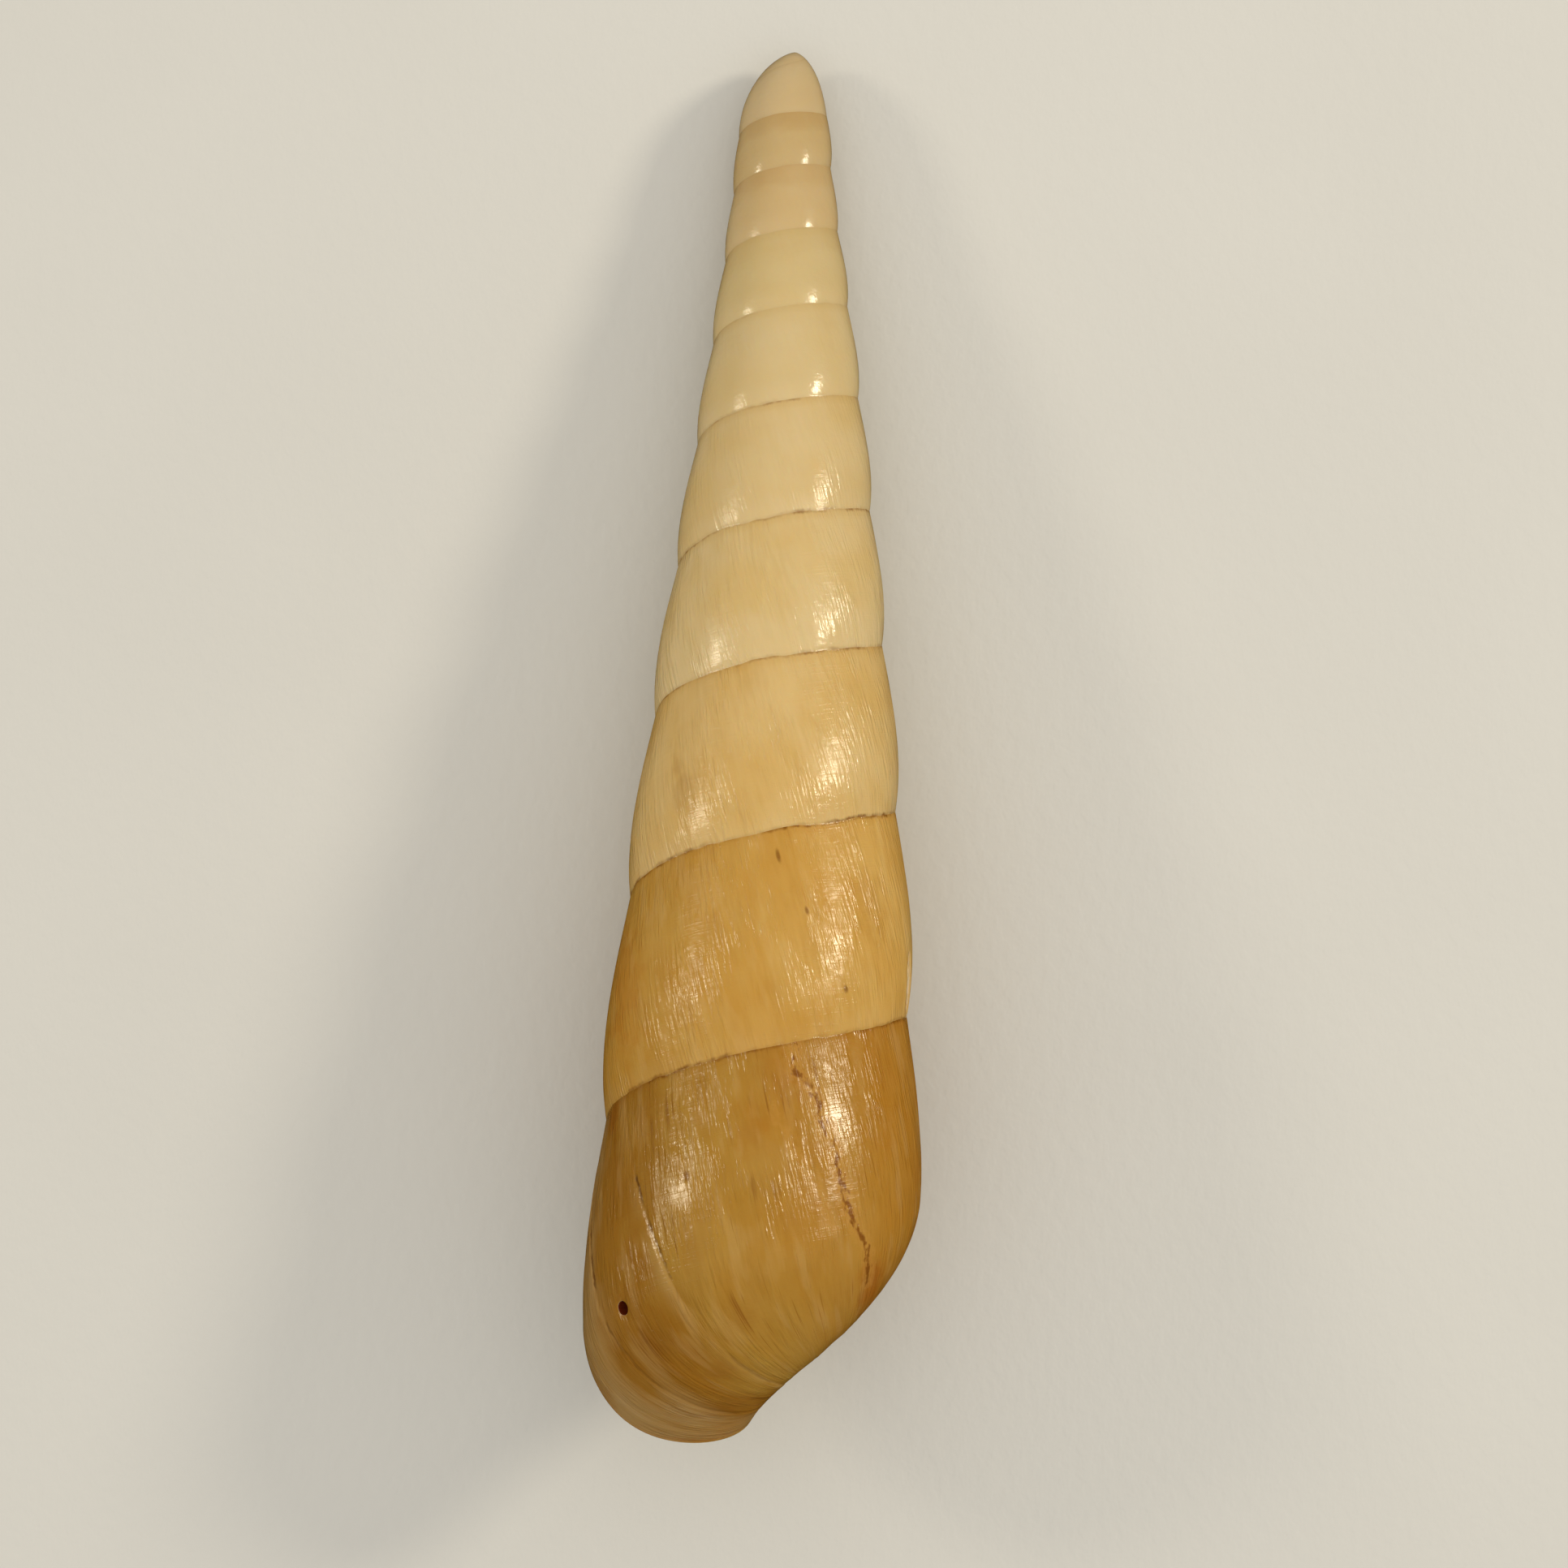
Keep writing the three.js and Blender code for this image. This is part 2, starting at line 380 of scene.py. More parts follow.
def growth_on_solid(row, place):
    """The CAD solid's own growth value where a row of this mesh passes."""
    low = np.full(np.broadcast(row, place).shape, SEARCH_FROM)
    high = low + SEARCH_TURNS
    base_share = smooth((row - FREE_FROM) / BASE_LAG_RAMP)
    for _ in range(BISECTIONS):
        middle = (low + high) / 2
        down, arc, top = down_and_arc(middle, place)
        on_side = np.minimum(down, top)
        row_lag = SIDE_LAG * on_side + base_share * (line_lag(down, arc) - SIDE_LAG * on_side)
        passed = middle - lag_share(middle) * line_lag(down, arc) > row - row_lag
        high = np.where(passed, middle, high)
        low = np.where(passed, low, middle)
    return (low + high) / 2


# Lengths along the suture from the tip, by turn
TURN_TABLE = np.linspace(TABLE_FROM, TABLE_TO, TABLE_POINTS)
LENGTH_TABLE = np.concatenate(
    [[0], np.cumsum(2 * math.pi * cone_radius(suture_height(TURN_TABLE[1:])) * np.diff(TURN_TABLE))]
)


def along_suture(turn):
    return np.interp(turn, TURN_TABLE, LENGTH_TABLE)


# Mesh under construction: points, triangles, and at each corner the surface's own coordinates

points = []
triangles = []
corners = []


def add_points(radius, height, turn):
    """Adds points and returns their numbers in the same arrangement."""
    radius, height, turn = np.broadcast_arrays(radius, height, turn)
    first = sum(len(block) for block in points)
    angle = 2 * math.pi * turn
    across = radius * np.cos(angle) - lean(height)
    upward = radius * np.sin(angle) - sag(height)
    points.append(np.stack([across, -height, upward], axis=-1).reshape(-1, 3))
    return first + np.arange(radius.size).reshape(radius.shape)


def add_triangles(numbers, coordinates):
    """Numbers come in as rows of three, clockwise as seen from outside."""
    numbers = np.asarray(numbers)[:, ::-1]
    coordinates = np.asarray(coordinates)[:, ::-1]
    a, b, c = numbers.T
    proper = (a != b) & (b != c) & (c != a)
    triangles.append(numbers[proper])
    corners.append(coordinates[proper])


def add_grid(numbers, coordinates, left_out=None):
    """Faces between rows of points, each quad cut along its shorter diagonal."""
    at = np.concatenate(points)
    quad = [numbers[:-1, :-1], numbers[:-1, 1:], numbers[1:, 1:], numbers[1:, :-1]]
    quad = np.stack([q.ravel() for q in quad], axis=1)
    held = [coordinates[:-1, :-1], coordinates[:-1, 1:], coordinates[1:, 1:], coordinates[1:, :-1]]
    held = np.stack([h.reshape(-1, coordinates.shape[-1]) for h in held], axis=1)
    first = np.linalg.norm(at[quad[:, 0]] - at[quad[:, 2]], axis=1)
    second = np.linalg.norm(at[quad[:, 1]] - at[quad[:, 3]], axis=1)
    cut = first <= second
    wanted = np.ones_like(cut) if left_out is None else ~left_out.ravel()
    for chosen, cuts in ((cut, ((0, 1, 2), (0, 2, 3))), (~cut, ((0, 1, 3), (1, 2, 3)))):
        chosen = chosen & wanted
        for three in cuts:
            add_triangles(quad[chosen][:, three], held[chosen][:, three])


def add_fan(centre, firsts, seconds, known):
    """Triangles around a centre, whose corners all know the same."""
    three = [np.full(len(firsts), centre), firsts, seconds]
    add_triangles(np.stack(three, axis=1), np.broadcast_to(known, (len(firsts), 3, len(known))))


def add_strip(left, left_held, right, right_held):
    """Faces between two chains that run side by side, matched by their share of the length."""
    at = np.concatenate(points)
    shares = []
    for chain in (left, right):
        length = np.concatenate([[0], np.cumsum(np.linalg.norm(np.diff(at[chain], axis=0), axis=1))])
        shares.append(length / length[-1])
    i = j = 0
    made = []
    held = []
    while i < len(left) - 1 or j < len(right) - 1:
        left_next = i < len(left) - 1 and (j == len(right) - 1 or shares[0][i + 1] <= shares[1][j + 1])
        if left_next:
            made.append((left[i], left[i + 1], right[j]))
            held.append((left_held[i], left_held[i + 1], right_held[j]))
            i += 1
        else:
            made.append((left[i], right[j + 1], right[j]))
            held.append((left_held[i], right_held[j + 1], right_held[j]))
            j += 1
    add_triangles(made, held)


# Outside

LAST_STEP = round((TURNS + ROW_SHIFT) * LATTICE)
HALF_STEP = 0.5 / LATTICE
LIP_ROWS = (0.7, 0.45, 0.2, 0.06)


def lattice_rows():
    """Growth of each row: wide steps on the small whorls, and a few narrow ones at the lip."""
    found = []
    for step in range(LAST_STEP + 1):
        row = TURNS - (LAST_STEP - step) / LATTICE
        stride = COARSE_STRIDE if row < COARSE_UNTIL else MEDIUM_STRIDE if row < MEDIUM_UNTIL else 1
        if step % stride == 0:
            found.append(row)
    return np.array(found[:-1] + [TURNS - share / LATTICE for share in LIP_ROWS] + [TURNS])


rows = lattice_rows()
is_many = rows > MANY_FROM - HALF_STEP
is_open = rows > FREE_FROM - HALF_STEP
open_rows = np.nonzero(is_open)[0]


def side_places(count):
    share = np.arange(count + 1) / count
    return share - EDGE_CLUSTER * np.sin(2 * math.pi * share) / (2 * math.pi)


def suture_wobble(row):
    """How far the suture strays from its even spiral."""
    size = WOBBLE + LATE_WOBBLE * stage_share(row, WOBBLING)
    fade = smooth(row / WOBBLE_TIP_FADE) * smooth((TURNS - row) / WOBBLE_LIP_FADE)
    length = along_suture(row)
    short = SHORT_WOBBLE_SHARE * noise_along(length, SHORT_WOBBLE_NOISE)
    return size * fade * (short + noise_along(length, LONG_WOBBLE_NOISE))


def lip_mark_distance(growth, down):
    """Millimetres to the nearer old lip mark, positive on its younger side."""
    lead = LIP_MARK_SLANT * np.maximum(LIP_MARK_BEND - down, 0)
    first = along_suture(growth) - along_suture(FIRST_LIP_MARK + lead)
    second = along_suture(growth) - along_suture(SECOND_LIP_MARK + lead)
    nearer = np.where(np.abs(first) < np.abs(second), first, second)
    return np.clip(nearer, -FAR, FAR)


def streak_distance(growth, down):
    """Millimetres to the middle of the nearer worn streak, which wanders a little."""
    main = along_suture(growth) - along_suture(WORN_STREAK - WORN_STREAK_SLANT * down)
    wander = STREAK_WANDER * noise_along(down, STREAK_NOISE)
    short_wander = STREAK_SHORT_WANDER * noise_along(down, STREAK_SHORT_NOISE)
    main = np.abs(main + wander + short_wander)
    main = main + FAR * (1 - smooth((STREAK_END - down) / STREAK_FADE))
    side = along_suture(growth) - along_suture(SIDE_STREAK - SIDE_STREAK_SLANT * down)
    side_wander = SIDE_STREAK_WANDER * noise_along(down, SIDE_STREAK_NOISE)
    side = np.abs(side + side_wander) + SIDE_STREAK_FAINT
    before_end = smooth((SIDE_STREAK_END - down) / SIDE_STREAK_FADE)
    after_start = smooth((down - SIDE_STREAK_START) / SIDE_STREAK_FADE)
    side = side + FAR * (1 - before_end * after_start)
    return np.clip(np.minimum(main, side), 0, FAR)


def ellipse(growth, down, centre, radii):
    """Distance from a spot's centre, 1 at its edge."""
    across = (along_suture(growth) - along_suture(centre[0])) / radii[0]
    return np.hypot(across, (down - centre[1]) / radii[1])


def chip_share(growth, down):
    """How much of the chipped place a point belongs to, from 0 to 1, with a ragged edge."""
    ragged = CHIP_RAGGED * noise_across(along_suture(growth), down, CHIP_NOISE)
    return smooth((CHIP_REACH - ellipse(growth, down, CHIP, CHIP_SIZE) + ragged) / CHIP_SLOPE)


def bell(distance, width):
    return np.exp(-((distance / width) ** 2))


def growth_relief(along, down, growth):
    """Growth lines, folds and dents, stronger on the late whorls."""
    age = stage_share(growth, OLD)
    late = stage_share(growth, LATE)
    patch = 0.5 + 0.5 * noise_across(along, down, LINE_PATCH_NOISE)
    both = noise_along(along, FINE_LINE_NOISE) + COARSE_LINE_SHARE * noise_along(along, COARSE_LINE_NOISE)
    lines = (LINE_HEIGHT + LATE_LINE_HEIGHT * late) * age * patch * both
    narrow = NARROW_FOLD_HEIGHT * noise_along(along, NARROW_FOLD_NOISE)
    broad = BROAD_FOLD_HEIGHT * noise_across(along, down, BROAD_FOLD_NOISE)
    folds = age * (narrow + broad)
    folds = folds + late * LATE_FOLD_HEIGHT * noise_across(along, down, LATE_FOLD_NOISE)
    return lines + folds + DENT_DEPTH * noise_across(along, down, DENT_NOISE)


def pit_depth(growth, down):
    depth = 0
    for pit_growth, pit_down, width, length in PITS:
        inside = 1 - ellipse(growth, down, (pit_growth, pit_down), (width, length))
        depth = depth + PIT_DEPTH_SHARE * width * smooth(inside / PIT_SLOPE)
    return depth


def relief(along, down, low, growth, scar, streak, chip):
    """How far the surface stands out from the smooth growth form."""
    depth = GROOVE_DEPTH + LATE_GROOVE_DEPTH * stage_share(growth, GROOVED)
    groove = depth * (bell(down, GROOVE_WIDTH) + bell(low, GROOVE_WIDTH))
    lip_line = LIP_LINE_DEPTH * bell(scar, LIP_LINE_WIDTH)
    ridge = LIP_RIDGE_HEIGHT * np.exp(-scar / LIP_RIDGE_LENGTH) * smooth(scar / LIP_RIDGE_RISE)
    lip_ridge = np.where(scar > 0, ridge, 0)
    ragged = 0.6 + 0.4 * noise_across(along, down, WORN_NOISE)
    worn = WORN_DEPTH * ragged * bell(streak, WORN_WIDTH)
    raised = growth_relief(along, down, growth) - groove - lip_line + lip_ridge
    return raised - worn - pit_depth(growth, down) - CHIP_DEPTH * chip


def lip_round(row, place):
    """Inset that rounds the outside towards the lip's edge."""
    thickness = LIP_SHARE * cone_radius(suture_height(TURNS))
    radius = LIP_ROUND_SHARE * thickness * smooth(place / LIP_ROUND_START)
    distance = (along_suture(TURNS) - along_suture(row)) / np.maximum(radius, SLOPE_STEP)
    return radius * (1 - np.sqrt(1 - (1 - np.minimum(distance, 1)) ** 2))


def outside_rows(numbers_of_rows, place):
    """Points of the outside, with what their corners know."""
    row = rows[numbers_of_rows][:, None]
    place = place[None, :]
    growth = growth_on_solid(row, place)
    radius, height, turn = shell_point(growth, place)
    normal = section_normal(growth, place)
    step = np.hypot(np.diff(radius, axis=1), np.diff(height, axis=1))
    down = np.concatenate([np.zeros_like(row), np.cumsum(step, axis=1)], axis=1)
    free = row > FREE_FROM + HALF_STEP
    low = np.where(free, NO_SUTURE, down[:, -1:] - down)
    solid_down, arc, _ = down_and_arc(growth, place)
    own_growth = turn + line_lag(solid_down, arc)
    along = along_suture(own_growth)
    lower = np.where(free, 0, suture_wobble(np.minimum(row + ROW_SHIFT, TURNS)))
    wobble = mix(suture_wobble(row), lower, np.minimum(place, 1))
    scar = lip_mark_distance(own_growth, down)
    streak = streak_distance(own_growth, down)
    chip = chip_share(own_growth, down)
    out = relief(along, down, low, own_growth, scar, streak, chip) - lip_round(row, place)
    out = out * smooth((row + place * ROW_SHIFT) / TIP_SMOOTH_TURNS)
    radius = radius + out * normal[0] + CONE_SLOPE * wobble
    height = height + out * normal[1] + wobble
    outside = ON_OUTSIDE * np.ones_like(down)
    held = np.stack([along, down, low, own_growth, outside, scar, streak, chip], axis=-1)
    return radius, height, turn, held


def add_outside_points():
    """Points of all rows, and what their corners know.

    Rows from before the first turn start in one point at the tip, and the first row is that point.
    """
    numbers_of = [None] * len(rows)
    held_of = [None] * len(rows)
    apex = int(add_points(0.0, 0.0, 0.0))
    base_places = 1 + np.arange(1, BASE_COLUMNS + 1) / BASE_COLUMNS
    for chosen, place in (
        (~is_many, side_places(FEW_COLUMNS)),
        (is_many & ~is_open, side_places(MANY_COLUMNS)),
        (is_open, np.concatenate([side_places(MANY_COLUMNS), base_places])),
    ):
        which = np.nonzero(chosen)[0]
        radius, height, turn, held = outside_rows(which, place)
        numbers = add_points(radius, height, turn)
        numbers[rows[which] <= HALF_STEP, 0] = apex
        for i, r in enumerate(which):
            numbers_of[r] = numbers[i]
            held_of[r] = held[i]
    numbers_of[0][:] = apex
    return numbers_of, held_of


row_points, row_held = add_outside_points()
sutures = np.array([numbers[0] for numbers in row_points])

# The pinhole takes the place of a window in the grid of the last whorl
HOLE_GROWTH, HOLE_DOWN = PINHOLE
HOLE_ALONG_RADIUS, HOLE_DOWN_RADIUS = PINHOLE_RADII
TURNS_PER_MM = 1 / (along_suture(HOLE_GROWTH + 1 / LATTICE) - along_suture(HOLE_GROWTH)) / LATTICE


def pinhole_window():
    """First and last row, and first and last column, of the window."""
    nearest_row = int(np.argmin(np.abs(rows - HOLE_GROWTH)))
    row_reach = WINDOW_SHARE * HOLE_ALONG_RADIUS * TURNS_PER_MM
    column_reach = WINDOW_SHARE * HOLE_DOWN_RADIUS
    in_rows = np.searchsorted(rows, [HOLE_GROWTH - row_reach, HOLE_GROWTH + row_reach])
    downs = row_held[nearest_row][:, DOWN]
    return in_rows, np.searchsorted(downs, [HOLE_DOWN - column_reach, HOLE_DOWN + column_reach])


window_rows, window_columns = pinhole_window()


def window(band, columns):
    """Which quads of a grid lie in the pinhole's window."""
    in_rows = (band[:-1] >= window_rows[0]) & (band[:-1] < window_rows[1])
    in_columns = (columns[:-1] >= window_columns[0]) & (columns[:-1] < window_columns[1])
    return in_rows[:, None] & in_columns[None, :]


def add_sides():
    """Faces of the whorls' sides, apart from the last column."""
    for many, columns in ((False, FEW_COLUMNS), (True, MANY_COLUMNS)):
        band = np.nonzero(is_many == many)[0]
        numbers = np.array([row_points[r][:columns] for r in band])
        held = np.array([row_held[r][:columns] for r in band])
        add_grid(numbers, held, left_out=window(band, np.arange(columns)))
    change = int(np.argmax(is_many))
    add_strip(
        row_points[change - 1][:FEW_COLUMNS],
        row_held[change - 1][:FEW_COLUMNS],
        row_points[change][:MANY_COLUMNS],
        row_held[change][:MANY_COLUMNS],
    )


def add_suture_faces():
    """Faces of each side's last column, which ends on the suture of the next turn."""
    partner = np.abs(rows[:, None] + ROW_SHIFT - rows[None, :]).argmin(axis=1)
    columns = np.where(is_many, MANY_COLUMNS, FEW_COLUMNS)
    edge = np.array([row_points[r][columns[r] - 1] for r in range(len(rows))])
    edge_held = np.array([row_held[r][columns[r] - 1] for r in range(len(rows))])
    end_held = np.array([row_held[r][columns[r]] for r in range(len(rows))])
    end_held[:, LOW] = 0
    attached = np.nonzero(rows[1:] < FREE_FROM + HALF_STEP)[0]

    def end_at(i, partner_row):
        """What a suture point knows as the lower end of the whorl above it."""
        share = (rows[partner_row] - ROW_SHIFT - rows[i]) / (rows[i + 1] - rows[i])
        return mix(end_held[i], end_held[i + 1], share[:, None])

    for count in np.unique(partner[attached + 1] - partner[attached]):
        i = attached[partner[attached + 1] - partner[attached] == count]
        middle = (count + 1) // 2
        for k in range(count):
            corner = i if k < middle else i + 1
            here = partner[i] + k
            three = [edge[corner], sutures[here], sutures[here + 1]]
            held = [edge_held[corner], end_at(i, here), end_at(i, here + 1)]
            add_triangles(np.stack(three, axis=1), np.stack(held, axis=1))
        here = partner[i] + middle
        three = [edge[i], sutures[here], edge[i + 1]]
        held = [edge_held[i], end_at(i, here), edge_held[i + 1]]
        add_triangles(np.stack(three, axis=1), np.stack(held, axis=1))


def add_base():
    """The free whorl goes on over the base to the pillar."""
    row_points[open_rows[0]][MANY_COLUMNS] = sutures[-1]
    first_column = MANY_COLUMNS - 1
    numbers = np.array([row_points[r][first_column:] for r in open_rows])
    held = np.array([row_held[r][first_column:] for r in open_rows])
    held[0, 1:, LOW] = held[1, 1:, LOW]
    columns = np.arange(first_column, first_column + held.shape[1])
    add_grid(numbers, held, left_out=window(open_rows, columns))


add_sides()
add_suture_faces()
add_base()


# Pinhole
def on_grid(growth, down):
    """Place and knowledge of a point of the outside, between the four grid points around it."""
    at = np.concatenate(points)
    row = np.interp(growth, rows, np.arange(len(rows)))
    below = int(row)
    found = []
    for r in (below, below + 1):
        column = np.interp(down, row_held[r][:, DOWN], np.arange(len(row_held[r])))
        c = int(column)
        place = mix(at[row_points[r][c]], at[row_points[r][c + 1]], column - c)
        known = mix(row_held[r][c], row_held[r][c + 1], column - c)
        found.append((place, known))
    return [mix(found[0][i], found[1][i], row - below) for i in (0, 1)]


def add_raw(place):
    first = sum(len(block) for block in points)
    points.append(np.asarray(place).reshape(-1, 3))
    return first + np.arange(len(points[-1]))


def window_frame():
    """Points around the window in their order, and what their corners know."""
    row_range = range(window_rows[0], window_rows[1] + 1)
    column_range = range(window_columns[0], window_columns[1] + 1)
    path = [(row_range[0], c) for c in column_range]
    path += [(r, column_range[-1]) for r in row_range[1:]]
    path += [(row_range[-1], c) for c in column_range[-2::-1]]
    path += [(r, column_range[0]) for r in row_range[-2::-1]]
    return np.array([row_points[r][c] for r, c in path]), np.array([row_held[r][c] for r, c in path])


def add_pinhole():
    """A round rim in the window, walls that narrow, and a floor."""
    rim = []
    for angle in np.arange(PINHOLE_POINTS) * 2 * math.pi / PINHOLE_POINTS + PINHOLE_START:
        growth = HOLE_GROWTH + HOLE_ALONG_RADIUS * TURNS_PER_MM * math.sin(angle)
        rim.append(on_grid(growth, HOLE_DOWN + HOLE_DOWN_RADIUS * math.cos(angle)))
    rim_at = np.array([place for place, known in rim])
    rim_held = np.array([known for place, known in rim])
    centre = rim_at.mean(axis=0)
    inwards = np.cross(rim_at[0] - centre, rim_at[PINHOLE_POINTS // 4] - centre)
    inwards = inwards / np.linalg.norm(inwards)
    around = np.append(np.arange(PINHOLE_POINTS), 0)
    rings = []
    for depth, narrowing in PINHOLE_RINGS:
        rings.append(add_raw(centre + (rim_at - centre) * narrowing + inwards * depth)[around])
    frame_points, frame_held = window_frame()
    add_strip(frame_points, frame_held, rings[0], rim_held[around])
    wall_held = np.repeat(rim_held[None, around], len(rings), axis=0)
    wall_held[:, :, INSIDE] = IN_PINHOLE
    wall_held[0, :, INSIDE] = ON_OUTSIDE
    add_grid(np.array(rings), wall_held)
    floor_centre = add_raw(centre + inwards * PINHOLE_DEPTH)[0]
    add_fan(floor_centre, rings[-1][:-1], rings[-1][1:], wall_held[-1, 0])


add_pinhole()


# Passage


def wall_at(growth):
    closeness = smooth(1 - (TURNS - growth) / LIP_TAPER)
    return mix(WALL_SHARE, LIP_SHARE, closeness) * cone_radius(suture_height(growth))


def parietal_point(growth, arc):
    """The older whorl's base under a layer of callus."""
    turn = growth - lag_share(growth) * PARIETAL_LAG * arc
    callus = CALLUS_SHARE * cone_radius(suture_height(growth))
    radius, height = base_point(turn - 1, HIDDEN_BASE_TOP, arc)
    tilt = arc * math.pi / 2
    return radius + callus * np.cos(tilt), height + callus * np.sin(tilt), turn


def pillar_point(growth, share):
    """The pillar's wall, from the passage's floor to the older whorl's base."""
    turn = growth - lag_share(growth) * mix(SIDE_LAG * BASE_END + PILLAR_LAG, PARIETAL_LAG, share)
    callus = CALLUS_SHARE * cone_radius(suture_height(growth))
    top = parietal_point(growth, 1)[1]
    floor = shell_point(growth, 2)[1] - wall_at(growth)
    return PILLAR_RADIUS + callus + 0 * share, mix(floor, top, share), turn


def ring_at(growth):
    closeness = smooth(1 - (TURNS - growth) / LIP_TAPER)
    corner = mix(CORNER_DEEP, CORNER_AT_LIP, closeness)
    start = parietal_point(growth, corner)
    start_place = (start[1] - suture_height(growth)) / whorl_height(growth) / base_top(growth)
    outer_place = mix(start_place, 1 + FLOOR_END, np.arange(1, OUTER_RING + 1) / OUTER_RING)
    wall = wall_at(growth) - lip_round(growth, 1)
    outer = inset_point(np.full_like(outer_place, growth), outer_place, wall)
    pillar = pillar_point(growth, mix(PILLAR_FLOOR, 1, np.arange(PILLAR_RING) / PILLAR_RING))
    parietal = parietal_point(growth, mix(1, corner, np.arange(PARIETAL_RING) / PARIETAL_RING))
    parts = [np.atleast_1d(np.array(start)[:, None])]
    for part in (outer, pillar, parietal):
        parts.append(np.array(np.broadcast_arrays(*part)))
    return np.concatenate(parts, axis=1)


DEEP_STEPS = 20
NEAR_STEPS = 60
LIP_RINGS = (3, 1.5, *LIP_ROWS, 0)


def add_passage():
    """Rings from the closed end to the mouth. Returns the mouth's points and what they know."""
    deep = np.arange(TURNS - PASSAGE_TURNS, TURNS - 1 - HALF_STEP, 1 / DEEP_STEPS)
    near = np.arange(NEAR_STEPS) / NEAR_STEPS + TURNS - 1
    lip = TURNS - np.array(LIP_RINGS) / LATTICE
    growths = np.concatenate([deep, near, lip])
    rings = np.stack([ring_at(growth) for growth in growths])
    numbers = add_points(rings[:, 0], rings[:, 1], rings[:, 2])
    held = np.zeros((*numbers.shape, CHIPPED + 1))
    held[..., ALONG] = along_suture(growths)[:, None]
    held[..., DOWN] = np.arange(rings.shape[2]) / rings.shape[2]
    held[..., LOW] = NO_SUTURE
    held[..., GROWTH] = growths[:, None]
    held[..., INSIDE] = IN_PASSAGE
    held[..., SCAR] = FAR
    held[..., STREAK] = FAR
    closed = np.concatenate([numbers, numbers[:, :1]], axis=1)
    closed_held = np.concatenate([held, held[:, :1]], axis=1)
    add_grid(closed[:, ::-1], closed_held[:, ::-1])
    end_point = inset_point(growths[0], np.array(1.0), END_DEPTH * wall_at(growths[0]))
    add_fan(int(add_points(*end_point)), closed[0, :-1], closed[0, 1:], held[0, 0])
    return numbers[-1], held[-1]


mouth, mouth_held = add_passage()
add_strip(row_points[-1], row_held[-1], mouth[: OUTER_RING + 2], mouth_held[: OUTER_RING + 2])


def same_as_mouth(chain):
    return np.repeat(mouth_held[:1], len(chain), axis=0)


def add_pillar():
    """Curves on the pillar's open side, between the spiral edge of the base and the mouth."""
    nearest = np.array([row_points[r][-1] for r in open_rows[::-1]])
    nearest_held = np.array([row_held[r][-1] for r in open_rows[::-1]])
    ends = nearest[:1], nearest[-1:]
    share = np.arange(1, PILLAR_ROWS) / PILLAR_ROWS
    inner = pillar_point(TURNS, share)
    edge = shell_point(TURNS - share, np.full_like(share, 2))
    for index in range(1, PILLAR_CURVES + 1):
        across = index / (PILLAR_CURVES + 1)
        swell = 1 + PILLAR_BULGE * np.sin(math.pi * share) * math.sin(math.pi * across)
        taper = mix(PILLAR_TIP_TAPER, 1, smooth(share / PILLAR_TIP_SHARE))
        curve = add_points(
            mix(edge[0], inner[0], across) * swell * taper,
            mix(edge[1], inner[1], across),
            mix(edge[2] + 1, inner[2], across),
        )
        curve = np.concatenate([ends[0], curve, ends[1]])
        add_strip(nearest, nearest_held, curve, same_as_mouth(curve))
        nearest, nearest_held = curve, same_as_mouth(curve)
    parietal_edge = row_points[open_rows[0]][MANY_COLUMNS:-1][::-1]
    outer_edge = np.concatenate([nearest, parietal_edge])
    inner_edge = np.concatenate([mouth[OUTER_RING + 1 :], mouth[:1]])
    add_strip(outer_edge, same_as_mouth(outer_edge), inner_edge, same_as_mouth(inner_edge))


add_pillar()

# Into the frame: turned and tipped as it lies, then fitted to the CAD solid's box
used, faces = np.unique(np.concatenate(triangles), return_inverse=True)
faces = faces.reshape(-1, 3)
pitch = Matrix.Rotation(math.radians(REST_PITCH), 3, "X")
roll = Matrix.Rotation(math.radians(REST_ROLL), 3, "Y")
rest = np.array(pitch @ roll)
at = np.concatenate(points)[used] @ rest.T
solid_low, solid_high = (np.array(corner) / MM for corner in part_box("shell"))
low_corner, high_corner = at.min(axis=0), at.max(axis=0)
fit = (solid_high - solid_low) / (high_corner - low_corner)
shift = solid_low - fit * low_corner
at = fit * at + shift


def shell_mesh():
    """The mesh in metres, with what its corners know as a map and two vectors."""
    made = bpy.data.meshes.new("sea_snail_shell")
    made.from_pydata((at * MM).tolist(), [], faces.tolist())
    held = np.concatenate(corners).reshape(-1, CHIPPED + 1).astype(np.float32)
    growth_map = made.uv_layers.new(name="growth_mm")
    growth_map.data.foreach_set("uv", held[:, [ALONG, DOWN]].ravel())
    for name, known in (("place", [LOW, GROWTH, INSIDE]), ("marks", [SCAR, STREAK, CHIPPED])):
        vectors = made.attributes.new(name, "FLOAT_VECTOR", "CORNER")
        vectors.data.foreach_set("vector", held[:, known].ravel())
    made.polygons.foreach_set("use_smooth", np.ones(len(faces), dtype=bool))
    made.validate()
    return made


mesh = shell_mesh()
shell = bpy.data.objects.new("sea_snail_shell", mesh)
bpy.context.collection.objects.link(shell)
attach(shell, "root")
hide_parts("shell")

# Camera, at the photograph's place over the shell: degrees, millimetres, and half the view's width
CAMERA_TURN = 1.9273
CAMERA_TIP = 10.7225
CAMERA_DISTANCE = 169.713
REFERENCE_HEIGHT = 28.8
REFERENCE_ASIDE = -0.47
REFERENCE_BELOW = -3.647
HALF_VIEW = 0.195246
SENSOR = 36
CLIP_NEAR = 0.01
CLIP_FAR = 10


